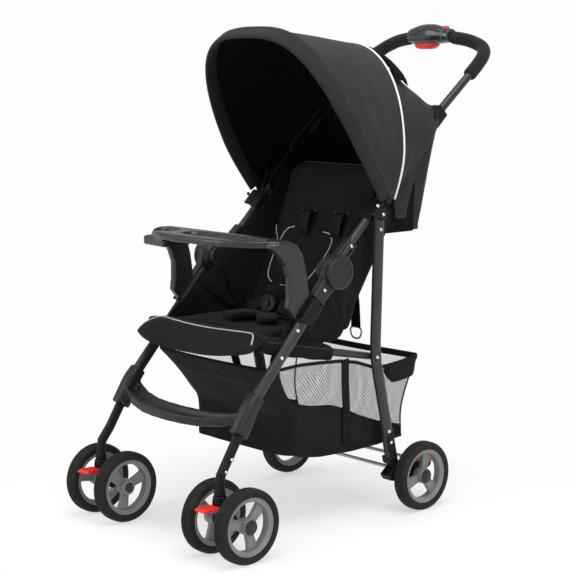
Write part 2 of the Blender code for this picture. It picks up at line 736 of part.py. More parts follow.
def add_rear_foot(side, name, parent, looks):
    """The housing at the leg's lower end, which runs back to the axle boss."""
    x_start = REAR_LEG_X - REAR_FOOT_INNER
    x_end = REAR_LEG_X + 0.0065
    bottom = REAR_FOOT + Vector((-0.004, -0.056))
    outline = [
        REAR_FOOT + Vector((-0.017, -0.003)),
        REAR_FOOT + Vector((0.019, 0.0)),
        Vector((REAR_FOOT.x + 0.030, WHEEL_RADIUS + 0.032)),
        Vector((-0.006, WHEEL_RADIUS + 0.0275)),
        *[BRAKE_BAR + BRAKE_LUG_RADIUS * direction(angle) for angle in (95, 50, 5, -40, -85)],
        Vector((0.0125, WHEEL_RADIUS)),
        Vector((0.006, WHEEL_RADIUS - 0.0120)),
        Vector((-0.006, WHEEL_RADIUS - 0.0135)),
        bottom + Vector((0.022, -0.004)),
        bottom,
        REAR_FOOT + Vector((-0.012, -0.044)),
    ]
    foot = add_object(f"rear_foot_{name}", handed(plate(outline, x_start, x_end), side), parent, looks["casting"])
    sleeve_outline = [
        along(REAR_KNEE, LOWER_LEG_ANGLE, LOWER_LEG_LENGTH - 0.052, -REAR_LEG_DEPTH / 2 - 0.0035),
        along(REAR_KNEE, LOWER_LEG_ANGLE, LOWER_LEG_LENGTH - 0.052, REAR_LEG_DEPTH / 2 + 0.0035),
        along(REAR_KNEE, LOWER_LEG_ANGLE, LOWER_LEG_LENGTH + 0.010, REAR_LEG_DEPTH / 2 + 0.0035),
        along(REAR_KNEE, LOWER_LEG_ANGLE, LOWER_LEG_LENGTH + 0.010, -REAR_LEG_DEPTH / 2 - 0.0035),
    ]
    wall = REAR_LEG_WIDTH / 2 + 0.003
    join(foot, handed(plate(sleeve_outline, REAR_LEG_X - wall, REAR_LEG_X + wall), side))
    channel = at_x(
        [along(REAR_KNEE, LOWER_LEG_ANGLE, LOWER_LEG_LENGTH - 0.08), along(REAR_KNEE, LOWER_LEG_ANGLE, LOWER_LEG_LENGTH)],
        REAR_LEG_X,
    )
    section = oval(REAR_LEG_WIDTH / 2 + GAP, REAR_LEG_DEPTH / 2 + GAP, 12, 2.6)
    cut(foot, handed(sweep(channel, section), side))
    cut(foot, handed(rod_x(REAR_AXLE, x_start - 0.01, x_end + 0.01, AXLE_RADIUS + GAP), side))
    cut(foot, handed(rod_x(BRAKE_BAR, x_start - 0.01, x_end + 0.01, AXLE_RADIUS + GAP), side))


def add_rear_axle(parent, looks):
    half = REAR_WHEEL_X + HUB_WIDTH / 2 - 0.002
    add_object("rear_axle", rod_x(REAR_AXLE, -half, half, AXLE_RADIUS), parent, looks["steel"])


def add_brake(parent, looks):
    """A bar across the stroller with a pedal and a lock pin at each end."""
    half = REAR_LEG_X + 0.009
    add_object("brake_bar", rod_x(BRAKE_BAR, -half, half, AXLE_RADIUS), parent, looks["steel"])
    for side, name in ((1, "left"), (-1, "right")):
        reach = PEDAL_REACH
        low, high = BRAKE_BAR.y - 0.0055, BRAKE_BAR.y + 0.0055
        outline = [
            Vector((BRAKE_BAR.x - 0.0065, low)), Vector((BRAKE_BAR.x - 0.0065, high)), Vector((BRAKE_BAR.x + 0.010, high + 0.002)),
            Vector((BRAKE_BAR.x + reach, high - 0.006)), Vector((BRAKE_BAR.x + reach + 0.002, low - 0.004)),
            Vector((BRAKE_BAR.x + 0.010, low - 0.001)),
        ]
        outline = outline[::-1]
        end = REAR_LEG_X - REAR_FOOT_INNER - RUNNING_GAP
        shape = plate(outline, end - PEDAL_WIDTH, end)
        pedal = add_object(f"brake_pedal_{name}", handed(shape, side), parent, looks["red"])
        cut(pedal, handed(rod_x(BRAKE_BAR, end - 0.06, end + 0.01, AXLE_RADIUS + GAP), side))


def add_caster(side, name, parent, looks):
    """The swivelling fork between the twin wheels, its stem collar and its axle."""
    collar = turned_z(CASTER_TRACK_X, STEM_Y, [(STEM_BOTTOM - 0.014, 0.0145), (STEM_BOTTOM - 0.003, 0.0145), (STEM_BOTTOM, 0.0125)], 16)
    fork = add_object(f"caster_fork_{name}", handed(collar, side), parent, looks["casting"])
    half = FORK_THICKNESS / 2
    outline = [
        Vector((STEM_Y - 0.012, STEM_BOTTOM - 0.010)),
        Vector((STEM_Y + 0.012, STEM_BOTTOM - 0.010)),
        Vector((STEM_Y + 0.024, STEM_BOTTOM - 0.026)),
        FRONT_AXLE + 0.012 * direction(35),
        FRONT_AXLE + 0.012 * direction(-10),
        FRONT_AXLE + 0.012 * direction(-60),
        FRONT_AXLE + 0.012 * direction(-110),
        FRONT_AXLE + 0.012 * direction(-160),
        Vector((STEM_Y - 0.012, STEM_BOTTOM - 0.035)),
    ]
    join(fork, handed(plate(outline[::-1], CASTER_TRACK_X - half, CASTER_TRACK_X + half), side))
    reach = TWIN_SPACING / 2 + HUB_WIDTH / 2 - 0.002
    join(fork, handed(rod_x(FRONT_AXLE, CASTER_TRACK_X - reach, CASTER_TRACK_X + reach, AXLE_RADIUS), side))


def add_swivel_lock(side, name, parent, looks):
    top = STEM_BOTTOM - LOCK_LEVER_DROP
    y_start = STEM_Y - 0.012 - RUNNING_GAP
    y_end = y_start - LOCK_LEVER_LENGTH + 0.012
    outline = [
        Vector((y_start, top)), Vector((y_end + 0.008, top)), Vector((y_end, top - 0.003)),
        Vector((y_end, top - LOCK_LEVER_THICKNESS)), Vector((y_start, top - LOCK_LEVER_THICKNESS - 0.004)),
    ]
    half = LOCK_LEVER_WIDTH / 2
    shape = plate(outline[::-1], CASTER_TRACK_X - half, CASTER_TRACK_X + half)
    lever = add_object(f"swivel_lock_{name}", handed(shape, side), parent, looks["red"])
    soften(lever, 0.0015)


def add_tray_bracket(side, name, parent, looks):
    """A clip over the front leg whose front face carries the tray's arm."""
    outer = LEG_X + LEG_WIDTH / 2 + GAP
    front = LEG_DEPTH / 2 + GAP
    back = -LEG_DEPTH / 2 - 0.002
    outline = [
        leg_point(BRACKET_START + SOCKET_LENGTH - 0.060, back),
        leg_point(BRACKET_END - 0.004, back),
        leg_point(BRACKET_END + 0.006, front + 0.002),
        leg_point(BRACKET_START + 0.012, front + 0.002),
    ]
    shape = plate(outline, outer, outer + 0.007)
    bracket = add_object(f"tray_bracket_{name}", handed(shape, side), parent, looks["plastic"])
    wall = [
        leg_point(BRACKET_START + 0.012, front),
        leg_point(BRACKET_END + 0.006, front),
        leg_point(BRACKET_END + 0.006, front + 0.004),
        leg_point(BRACKET_START + 0.012, front + 0.004),
    ]
    join(bracket, handed(plate(wall, LEG_X - LEG_WIDTH / 2 + 0.001, outer + 0.006), side))


def tray_outline():
    """Plan of the tray's top: a straight rear edge and a bowed front edge."""
    half = TRAY_HALF_WIDTH
    front = []
    for i in range(13):
        share = -1 + 2 * i / 12
        bow = (1 - abs(share) ** 3.2) ** 0.8
        front.append(((half + 0.004) * share, TRAY_REAR_Y - 0.030 + (TRAY_FRONT_Y - TRAY_REAR_Y + 0.030) * bow))
    return front + [(half - 0.004, TRAY_REAR_Y), (-half + 0.004, TRAY_REAR_Y)]


def add_tray(parent, looks):
    top = slab(tray_outline(), TRAY_TOP - TRAY_THICKNESS, TRAY_TOP)
    tray = add_object("tray", top, parent, looks["plastic"])
    front = LEG_DEPTH / 2 + 0.004 + 2 * GAP
    arm = [
        leg_point(FOOT_START, front),
        leg_point(BRACKET_END + 0.006, front),
        leg_point(BRACKET_END + 0.002, front + 0.030),
        Vector((TRAY_REAR_Y, TRAY_TOP - 0.113)),
        Vector((TRAY_REAR_Y, TRAY_TOP - 0.078)),
        Vector((TRAY_REAR_Y - 0.010, TRAY_TOP - 0.051)),
        Vector((TRAY_REAR_Y - 0.028, TRAY_TOP - 0.030)),
        Vector((TRAY_REAR_Y - TRAY_DEPTH / 2, TRAY_TOP - TRAY_THICKNESS + 0.004)),
        Vector((TRAY_REAR_Y - 0.006, TRAY_TOP - 0.001)),
        Vector((TRAY_REAR_Y + 0.020, TRAY_TOP - 0.010)),
        Vector((TRAY_REAR_Y + 0.036, TRAY_TOP - 0.030)),
        Vector((TRAY_REAR_Y + 0.045, TRAY_TOP - 0.060)),
    ]
    x_end = TRAY_HALF_WIDTH + 0.003
    for side in (1, -1):
        join(tray, handed(plate(arm[::-1], x_end - ARM_THICKNESS, x_end), side))
    add_tray_wells(tray)


def add_tray_wells(tray):
    """A cup box under the child's right end, and the recesses of the top."""
    box_rear = TRAY_REAR_Y - 0.019
    box_front = TRAY_FRONT_Y + 0.014
    outer = 0.014 - TRAY_HALF_WIDTH
    inner = 0.095 - TRAY_HALF_WIDTH
    box = [(outer, box_front + 0.010), (outer, box_rear), (inner, box_rear), (inner, box_front)]
    well = Vector((0.054 - TRAY_HALF_WIDTH, (box_rear + box_front) / 2 + 0.0045))
    bottom = TRAY_TOP - TRAY_THICKNESS - CUP_BOX_HEIGHT
    join(tray, slab(box[::-1], bottom, TRAY_TOP - TRAY_THICKNESS + 0.002))
    rings = []
    for z, scale in ((TRAY_TOP - 0.028, 0.86), (TRAY_TOP + 0.01, 1.0)):
        rings.append([Vector((well.x + u * scale, well.y + v * scale, z)) for u, v in oval(0.032, 0.026, 12, 3)])
    cut(tray, loft(rings))
    middle = Vector((TRAY_HALF_WIDTH - 0.145, TRAY_REAR_Y - 0.050, 0))
    recess = [middle + Vector((u, v, 0)) for u, v in oval(0.115, 0.030, 16, 3.5)]
    floor = TRAY_TOP - TRAY_WELL_DEPTH
    cut(tray, loft([[p + Vector((0, 0, z)) for p in recess] for z in (floor, TRAY_TOP + 0.01)]))


def add_footrest(parent, looks):
    """A bowed trough between two sleeves at the knees."""
    half = LEG_X - LEG_WIDTH / 2 - 0.004
    rings = []
    for i in range(9):
        share = -1 + 2 * i / 8
        bow = 1 - share * share
        x = share * (half + 0.004)
        front = FOOTREST_FRONT_Y + 0.040 * (1 - bow)
        rear = front + FOOTREST_DEPTH - 0.010 * (1 - bow)
        low = FOOTREST_Z + 0.018 * abs(share) ** 4
        rings.append([
            Vector((x, front + 0.003, low)), Vector((x, rear, low + 0.002)), Vector((x, rear + 0.002, low + FOOTREST_THICKNESS + 0.004)),
            Vector((x, rear - 0.008, low + FOOTREST_THICKNESS + 0.004)), Vector((x, rear - 0.014, low + FOOTREST_THICKNESS * 0.6)),
            Vector((x, front + 0.012, low + FOOTREST_THICKNESS * 0.6)), Vector((x, front + 0.006, low + FOOTREST_THICKNESS)),
            Vector((x, front, low + FOOTREST_THICKNESS)),
        ])
    bar = add_object("footrest_bar", loft(rings), parent, looks["plastic"])
    for side in (1, -1):
        sleeve = at_x([leg_point(LEG_LENGTH - 0.022), KNEE, along(KNEE, FOOT_ANGLE, 0.066)], LEG_X)
        outer = oval(LEG_WIDTH / 2 + 0.0065, LEG_DEPTH / 2 + 0.0065, 12, 4.0)
        join(bar, handed(sweep(sleeve, outer), side))
    for side in (1, -1):
        path = at_x([leg_point(LEG_LENGTH - 0.04), leg_point(LEG_LENGTH - 0.002), along(KNEE, FOOT_ANGLE, 0.002), along(KNEE, FOOT_ANGLE, 0.03), along(KNEE, FOOT_ANGLE, 0.09)], LEG_X)
        tube = oval(LEG_WIDTH / 2 + GAP, LEG_DEPTH / 2 + GAP, 12, 2.6)
        foot = oval(0.0105 + GAP, 0.0145 + GAP, 12, 3.0)
        cut(bar, handed(sweep(path, [tube, tube, tube, foot, foot]), side))


def add_seat(parent, looks):
    """The U-shaped rail, the seat pad between its arms and the leg rest over its front."""
    rail_x = LEG_X - LEG_WIDTH / 2 - RUNNING_GAP - RAIL_RADIUS
    rear = Vector((REAR_KNEE.x, REAR_KNEE.y))
    slope = (SEAT_AXIS - rear).normalized()
    front = SEAT_AXIS + slope * (SEAT_AXIS.x - SEAT_FRONT_Y - 0.03)
    half = [
        Vector((rail_x, *rear)),
        Vector((rail_x, *SEAT_AXIS)),
        Vector((rail_x, *front)),
        Vector((rail_x - 0.007, SEAT_FRONT_Y + 0.012, front.y + 0.001)),
        Vector((rail_x - 0.022, SEAT_FRONT_Y + 0.002, front.y + 0.002)),
        Vector((rail_x - 0.040, SEAT_FRONT_Y, front.y + 0.002)),
        Vector((0.0, SEAT_FRONT_Y, front.y + 0.002)),
    ]
    section = oval(RAIL_RADIUS, RAIL_RADIUS, 10)
    rail = add_object("seat_tube", sweep(both_sides(half), section), parent, looks["tube"])
    for side in (1, -1):
        boss = rod_x(SEAT_AXIS, rail_x, LEG_X - LEG_WIDTH / 2 - GAP, RAIL_RADIUS - 0.001)
        join(rail, handed(boss, side))
    width = SEAT_WIDTH / 2
    over = half[-1].z + RAIL_RADIUS + GAP
    start = SEAT_FRONT_Y + RAIL_RADIUS + 0.003
    reach = RECLINE_PIVOT.x - SEAT_SETBACK - start
    line = [(start + reach * i / 10, SEAT_TOP - SEAT_THICKNESS) for i in range(11)]
    widths = [width - 0.026, width - 0.012, width - 0.004] + [width] * 8
    pad = cushion(line, widths, SEAT_THICKNESS, 16, ((0.52, 0.10),), 0.45)
    add_object("seat_pad", pad, parent, looks["fabric"])
    flap = [
        (start - SOFT_GAP, over), (SEAT_FRONT_Y - 0.006, over + 0.001), (SEAT_FRONT_Y - 0.020, over - 0.004),
        (SEAT_FRONT_Y - 0.035, over - 0.012), (SEAT_FRONT_Y - 0.048, over - 0.021), (SEAT_FRONT_Y - 0.060, over - 0.032),
    ]
    widths = [width, width, width - 0.001, width - 0.004, width - 0.010, width - 0.020]
    leg_rest = cushion(flap[::-1], widths[::-1], LEG_REST_THICKNESS, 16, (), 0.5)
    add_object("leg_rest", leg_rest, parent, looks["fabric"])


def add_backrest(parent, looks):
    """The reclining back: a padded slab with shoulder strap channels and drawn-in sides."""
    half = BACKREST_WIDTH / 2
    start = along(RECLINE_PIVOT, BACKREST_ANGLE, BACKREST_FOOT, -BACKREST_SETBACK)
    line = []
    widths = []
    for i in range(13):
        share = i / 12
        line.append(along(start, BACKREST_ANGLE, BACKREST_LENGTH * share))
        widths.append(half * (1 - 0.10 * max(0.0, share - 0.8) / 0.2))
    shape = cushion(line, widths, BACKREST_THICKNESS, 16, ((0.28, 0.12), (0.72, 0.10)), 0.6)
    add_object("backrest", shape, parent, looks["fabric"])


def add_buckle(parent, button_parent, looks):
    """The harness buckle standing on its crotch strap, with a round release button."""
    half = BUCKLE_WIDTH / 2
    high = BUCKLE_HEIGHT / 2
    lean = direction(BACKREST_ANGLE + 4)
    facing = Vector((-lean.y, lean.x))
    corners = [(-half, -0.4 * high), (-half, 0.4 * high), (-0.5 * half, high), (0.5 * half, high), (half, 0.4 * high), (half, -0.4 * high), (0.45 * half, -high), (-0.45 * half, -high)]

    def placed(x, up, out):
        point = BUCKLE + lean * up + facing * out
        return Vector((x, point.x, point.y))

    front = BUCKLE_THICKNESS / 2
    rings = [[placed(x * share, up * share, out) for x, up in corners] for out, share in ((-front, 0.9), (-front + 0.003, 1.0), (front - 0.004, 1.0), (front, 0.82))]
    buckle = add_object("buckle", loft(rings), parent, looks["plastic"])
    foot = SEAT_TOP + SOFT_GAP + GAP
    down = BUCKLE + lean * ((foot - BUCKLE.y) / lean.y)
    stalk = [Vector((x, *(place + facing * out))) for place in (down, BUCKLE - lean * high * 0.8) for x, out in ((-STALK_WIDTH / 2, -0.002), (STALK_WIDTH / 2, -0.002), (STALK_WIDTH / 2, 0.002), (-STALK_WIDTH / 2, 0.002))]
    join(buckle, loft([stalk[:4], stalk[4:]]))

    def disc(radius, start, end):
        circle = oval(radius, radius, 12)
        return loft([[placed(u, v, out) for u, v in circle] for out in (start, end)])

    cut(buckle, disc(BUTTON_RADIUS + GAP, front - 0.006, front + 0.01))
    add_object("buckle_button", disc(BUTTON_RADIUS, front - 0.006 + BUTTON_TRAVEL + GAP, front + 0.001), button_parent, looks["plastic"])


def bow_point(turn, bow, pull=0.0):
    """A point on a canopy bow. turn runs 0 to 180 degrees from left to right."""
    c, s = math.cos(math.radians(turn)), math.sin(math.radians(turn))
    power = 2 / bow["squareness"]
    rise = abs(s) ** power
    bulge = math.sin(min(1.0, rise / 0.35) * math.pi / 2)
    half_width = bow["foot_x"] + (bow["half_width"] - bow["foot_x"]) * bulge - pull
    x = math.copysign(abs(c) ** power, c) * half_width
    place = CANOPY_PIVOT + (bow["height"] - pull) * rise * direction(bow["angle"] + bow["lean"] * rise)
    return Vector((x, place.x, place.y))


FRONT_BOW = {
    "foot_x": FRONT_BOW_X,
    "half_width": FRONT_BOW_HALF_WIDTH,
    "height": FRONT_BOW_HEIGHT,
    "squareness": FRONT_BOW_SQUARENESS,
    "angle": FRONT_BOW_ANGLE,
    "lean": FRONT_BOW_LEAN,
}
MID_BOW = {
    "foot_x": MID_BOW_X,
    "half_width": MID_BOW_HALF_WIDTH,
    "height": MID_BOW_HEIGHT,
    "squareness": MID_BOW_SQUARENESS,
    "angle": MID_BOW_ANGLE,
    "lean": 0.0,
}
REAR_EDGE = {
    "foot_x": MID_BOW_X - 0.002,
    "half_width": MID_BOW_X - 0.002,
    "height": CANOPY_REAR_HEIGHT,
    "squareness": 7.0,
    "angle": CANOPY_REAR_ANGLE,
    "lean": 2.0,
}
BOW_TURNS = [1, 3] + [6 + 7 * i for i in range(25)] + [177, 179]


def add_bow(name, bow, depth, inner_x, parent, surface):
    """A flat canopy bow. Each end runs down to an eye on the canopy's pivot, whose boss
    reaches inwards to what carries it."""
    rings = []
    turns = [turn for turn in BOW_TURNS if (bow_point(turn, bow).yz - CANOPY_PIVOT).length > 2 * EYE_RADIUS]
    for turn in turns:
        center = bow_point(turn, bow)
        tangent = (bow_point(turn + 0.8, bow) - bow_point(turn - 0.8, bow)).normalized()
        inward = bow_point(turn, bow, BOW_THICKNESS) - center
        wide = tangent.cross(inward).normalized() * depth / 2
        inward = wide.cross(tangent).normalized() * BOW_THICKNESS
        rings.append([center - wide, center + wide, center + wide + inward, center - wide + inward])
    band = add_object(name, loft(rings), parent, surface)
    across = EYE_RADIUS * 0.6 * Vector((-direction(bow["angle"]).y, direction(bow["angle"]).x))
    foot = bow_point(turns[0], bow).yz
    link_end = foot + (foot - CANOPY_PIVOT).normalized() * BOW_THICKNESS
    link = [CANOPY_PIVOT - across, CANOPY_PIVOT + across, link_end + across, link_end - across]
    for side in (1, -1):
        start, end = bow["foot_x"] - BOW_THICKNESS, bow["foot_x"]
        join(band, handed(rod_x(CANOPY_PIVOT, start, end, EYE_RADIUS), side))
        join(band, handed(plate(link, start, end), side))
        if inner_x < start:
            join(band, handed(rod_x(CANOPY_PIVOT, inner_x, start + GAP, EYE_RADIUS - 0.003), side))


def clear_share(start, end, margin):
    """How far to go from a bow's point to another for this much clearance from the bow's plane."""
    ahead = (start.yz - CANOPY_PIVOT).normalized()
    return margin / abs(ahead.cross((end - start).yz))


def panel(first, second, first_margin, second_margin, rows, sag):
    """Fabric stretched between two bows, drawn in between them."""
    outer = []
    inner = []
    center = Vector((0.0, *CANOPY_PIVOT))
    for i in range(rows + 1):
        face = []
        back = []
        for turn in BOW_TURNS[2:-2]:
            a, b = bow_point(turn, first), bow_point(turn, second)
            start = clear_share(a, b, first_margin)
            end = 1 - clear_share(b, a, second_margin)
            share = start + (end - start) * i / rows
            away = (a.lerp(b, share) - center).normalized()
            radius = (a - center).length * (1 - share) + (b - center).length * share
            radius -= sag * math.sin(math.pi * share)
            face.append(center + away * radius)
            back.append(center + away * (radius - FABRIC))
        outer.append(face)
        inner.append(back)
    return thin_shell(outer, inner)


def add_canopy(mid_parent, front_parent, looks):
    tube_face = TUBE_X + TUBE_RADIUS + GAP
    add_bow("canopy_bow_mid", MID_BOW, MID_BOW_DEPTH, tube_face, mid_parent, looks["fabric"])
    add_bow("canopy_bow_front", FRONT_BOW, FRONT_BINDING_DEPTH, MID_BOW_X + GAP, front_parent, looks["fabric"])
    front_margin = FRONT_BINDING_DEPTH / 2 + PANEL_GAP
    mid_margin = MID_BOW_DEPTH / 2 + PANEL_GAP
    front = panel(FRONT_BOW, MID_BOW, front_margin, mid_margin, 6, 0.006)
    add_object("canopy_front_panel", front, front_parent, looks["canopy"])
    rear = panel(MID_BOW, REAR_EDGE, mid_margin, PANEL_GAP, 6, 0.004)
    add_object("canopy_rear_panel", rear, mid_parent, looks["canopy"])


def curtain_line(rear_y, half_width, corner, start_y, wave=0.0):
    """Plan of the curtain, from the left tube round the back to the right, as (x, y) pairs."""
    left = [(half_width, start_y), (half_width, start_y + (rear_y - corner - start_y) / 2), (half_width, rear_y - corner)]
    for i in (1, 2, 3):
        turn = math.radians(30 * i)
        left.append((half_width - corner + corner * math.cos(turn), rear_y - corner + corner * math.sin(turn)))
    back = [(half_width - corner) * (1 - 2 * i / 10) for i in range(1, 10)]
    middle = [(x, rear_y + wave * math.cos(i * math.pi)) for i, x in enumerate(back)]
    return left + middle + [(-x, y) for x, y in reversed(left)]


def add_rear_curtain(parent, looks):
    """Cloth that hangs from the clips and the tubes behind the backrest, with slack folds."""
    rows = 7
    outer = []
    inner = []
    for i in range(rows):
        share = i / (rows - 1)
        z = CURTAIN_TOP_Z + (CURTAIN_BOTTOM_Z - CURTAIN_TOP_Z) * share
        on_tube = TUBE_START.x + (z - TUBE_START.y) / math.tan(math.radians(TUBE_ANGLE))
        start_y = min(on_tube + 0.026, CURTAIN_REAR_Y - 0.055)
        half = TUBE_X - TUBE_RADIUS - GAP - 0.003 * share
        rear = CURTAIN_REAR_Y - 0.012 * share - 0.006 * math.sin(math.pi * share)
        wave = 0.003 * share
        outer.append([Vector((x, y, z)) for x, y in curtain_line(rear, half, 0.022, start_y, wave)])
        inner.append([Vector((x, y, z)) for x, y in curtain_line(rear - FABRIC, half - FABRIC, 0.022 - FABRIC, start_y, wave)])
    add_object("rear_curtain", thin_shell(outer, inner), parent, looks["canopy"])


def add_basket(parent, looks):
    """An open bag slung between the front legs and the rear legs, its front panel drawn in."""
    half = BASKET_HALF_WIDTH
    low = half - BASKET_TAPER
    rim = [(half, *point) for point in BASKET_RIM]
    floor = [(low, *point) for point in BASKET_FLOOR]
    shape = bmesh.new()
    top = [shape.verts.new(point) for point in rim]
    top += [shape.verts.new((-x, y, z)) for x, y, z in reversed(rim)] + [shape.verts.new((0.0, *BASKET_FRONT[1]))]
    bottom = [shape.verts.new(point) for point in floor]
    bottom += [shape.verts.new((-x, y, z)) for x, y, z in reversed(floor)] + [shape.verts.new((0.0, *BASKET_FRONT[0]))]
    count = len(top)
    for i in range(count):
        j = (i + 1) % count
        shape.faces.new((top[i], bottom[i], bottom[j], top[j]))
    for i in range(3):
        shape.faces.new((bottom[i], bottom[count - 2 - i], bottom[count - 3 - i], bottom[i + 1]))
    shape.faces.new((bottom[0], bottom[count - 1], bottom[count - 2]))
    bmesh.ops.recalc_face_normals(shape, faces=shape.faces)
    basket = add_object("basket", shape, parent, looks["basket"])
    step = basket.modifiers.new("Cloth", "SOLIDIFY")
    step.thickness = BASKET_FABRIC
    step.offset = -1.0
    step.use_even_offset = True


def make_looks():
    return {
        "tube": material("Dark grey painted tube", (0.075, 0.075, 0.078), 0.38, 0.6),
        "casting": material("Black moulded nylon", (0.018, 0.018, 0.019), 0.40),
        "plastic": material("Dark grey moulded plastic", (0.050, 0.050, 0.052), 0.42),
        "dark_gloss": material("Glossy dark plastic", (0.040, 0.048, 0.046), 0.22),
        "red": material("Red plastic", (0.62, 0.020, 0.020), 0.35),
        "foam": material("Black foam", (0.015, 0.015, 0.015), 0.90),
        "tyre": material("Black tyre", (0.020, 0.020, 0.020), 0.75),
        "rim": material("Grey wheel plastic", (0.28, 0.28, 0.285), 0.50),
        "steel": material("Axle steel", (0.42, 0.42, 0.43), 0.30, 1.0),
        "fabric": material("Black seat fabric", (0.014, 0.014, 0.015), 0.90),
        "canopy": material("Charcoal canopy fabric", (0.045, 0.045, 0.045), 0.88),
        "basket": material("Black basket fabric", (0.020, 0.020, 0.020), 0.90),
    }


def footprint_middle():
    """Half way between the lock levers' tips and the back of the handle's housing."""
    front = STEM_Y - RUNNING_GAP - LOCK_LEVER_LENGTH
    rear = handle_path()[-1].y + MODULE_DEPTH / 2
    return (front + rear) / 2


def build():
    for old in list(bpy.data.objects):
        bpy.data.objects.remove(old)
    looks = make_looks()
    stroller = empty("stroller", 0, (0, 0), None)
    stroller.location = (0.0, -footprint_middle(), 0.0)
    fold = empty("fold_axis", 0, HUB, stroller)
    seat = empty("seat_axis", 0, SEAT_AXIS, stroller)
    rear = empty("rear_leg_axis", 0, TOP_AXIS, fold)
    brake = empty("brake_axis", 0, BRAKE_BAR, rear)
    canopy_mid = empty("canopy_mid_axis", 0, CANOPY_PIVOT, fold)
    canopy_front = empty("canopy_front_axis", 0, CANOPY_PIVOT, canopy_mid)
    recline = empty("recline_axis", 0, RECLINE_PIVOT, seat)
    swing = empty("tray_axis", -LEG_X - LEG_WIDTH / 2 - GAP - 0.006, leg_point(BRACKET_START, LEG_DEPTH / 2 + 0.004), stroller)

    for side, name in ((1, "left"), (-1, "right")):
        add_front_leg(side, name, stroller, looks)
        add_leg_foot(side, name, stroller, looks)
        add_hub(side, name, stroller, fold, looks)
        add_tray_bracket(side, name, stroller, looks)
        add_top_joint(side, name, fold, looks)
        add_canopy_clip(side, name, fold, looks)
        add_rear_leg(side, name, rear, looks)
        add_rear_foot(side, name, rear, looks)
        caster = empty(f"caster_axis_{name}", side * CASTER_TRACK_X, (STEM_Y, STEM_BOTTOM), stroller)
        add_caster(side, name, caster, looks)
        lock = empty(f"swivel_lock_axis_{name}", side * CASTER_TRACK_X, (STEM_Y - 0.014, STEM_BOTTOM - LOCK_LEVER_DROP), caster)
        add_swivel_lock(side, name, lock, looks)
        for inner, label in ((-1, "inner"), (1, "outer")):
            x = side * (CASTER_TRACK_X + inner * TWIN_SPACING / 2)
            axle = empty(f"front_axle_{name}_{label}", x, FRONT_AXLE, caster)
            add_wheel(f"front_wheel_{name}_{label}", FRONT_AXLE, x, side * inner, axle, looks)
        axle = empty(f"rear_axle_{name}", side * REAR_WHEEL_X, REAR_AXLE, rear)
        add_wheel(f"rear_wheel_{name}", REAR_AXLE, side * REAR_WHEEL_X, side, axle, looks)

    add_footrest(stroller, looks)
    add_basket(stroller, looks)
    add_seat(seat, looks)
    button = empty("buckle_button_axis", 0, BUCKLE, seat)
    add_buckle(seat, button, looks)
    add_backrest(recline, looks)
    add_tray(swing, looks)
    middle = add_handle(fold, looks)
    lever = empty("fold_lever_axis", 0, (middle.y, middle.z), fold)
    add_fold_lever(middle, lever, looks)
    lock_button = empty("lock_button_axis", 0, (middle.y, middle.z), fold)
    add_lock_button(middle, lock_button, looks)
    add_rear_axle(rear, looks)
    add_brake(brake, looks)
    add_canopy(canopy_mid, canopy_front, looks)
    add_rear_curtain(fold, looks)


build()
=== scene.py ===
import json
import math

import bmesh
import bpy
from mathutils import Matrix, Vector
from mathutils.bvhtree import BVHTree

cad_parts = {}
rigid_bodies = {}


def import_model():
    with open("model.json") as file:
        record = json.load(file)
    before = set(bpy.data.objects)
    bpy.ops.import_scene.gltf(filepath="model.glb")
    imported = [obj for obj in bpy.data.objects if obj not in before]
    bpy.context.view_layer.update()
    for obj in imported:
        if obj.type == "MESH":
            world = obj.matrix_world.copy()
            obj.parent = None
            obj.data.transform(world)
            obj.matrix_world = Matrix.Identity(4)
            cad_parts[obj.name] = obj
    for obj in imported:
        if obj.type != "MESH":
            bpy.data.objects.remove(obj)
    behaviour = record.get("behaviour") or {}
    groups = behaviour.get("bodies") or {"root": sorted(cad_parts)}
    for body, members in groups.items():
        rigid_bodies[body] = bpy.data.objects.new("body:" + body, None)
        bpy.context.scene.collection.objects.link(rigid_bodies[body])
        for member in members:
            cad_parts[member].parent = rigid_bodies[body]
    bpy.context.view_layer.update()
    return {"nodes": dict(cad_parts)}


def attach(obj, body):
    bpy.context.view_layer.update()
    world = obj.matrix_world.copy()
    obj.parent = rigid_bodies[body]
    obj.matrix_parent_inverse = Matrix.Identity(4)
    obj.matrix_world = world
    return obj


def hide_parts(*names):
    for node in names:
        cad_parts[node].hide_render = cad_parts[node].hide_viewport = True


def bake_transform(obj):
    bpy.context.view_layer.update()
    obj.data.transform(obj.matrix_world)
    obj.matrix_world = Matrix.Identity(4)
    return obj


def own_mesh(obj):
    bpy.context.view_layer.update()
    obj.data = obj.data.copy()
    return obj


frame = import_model()
nodes = frame["nodes"]
rearAxleY = 0.16661  # side-view y values below are measured from the rear axle
print("frame loaded")


def at(x, y, z):
    return Vector((x, y + rearAxleY, z))


def sideWay(angle):
    # one unit along an angle of the side view, as y and height
    return Vector((math.cos(math.radians(angle)), math.sin(math.radians(angle))))


def toLinear(hexColour):
    parts = [int(hexColour[i:i + 2], 16) / 255 for i in (1, 3, 5)]
    return tuple(c / 12.92 if c <= 0.04045 else ((c + 0.055) / 1.055) ** 2.4 for c in parts) + (1.0,)


def addNode(tree, kind, settings=None, inputs=None, into=None):
    # inputs are values or the sockets to link from; into is the socket that the node's first output feeds
    node = tree.nodes.new(kind)
    for name, value in (settings or {}).items():
        setattr(node, name, value)
    for name, value in (inputs or {}).items():
        if isinstance(value, bpy.types.NodeSocket):
            tree.links.new(value, node.inputs[name])
        else:
            node.inputs[name].default_value = value
    if into is not None:
        tree.links.new(node.outputs[0], into)
    return node


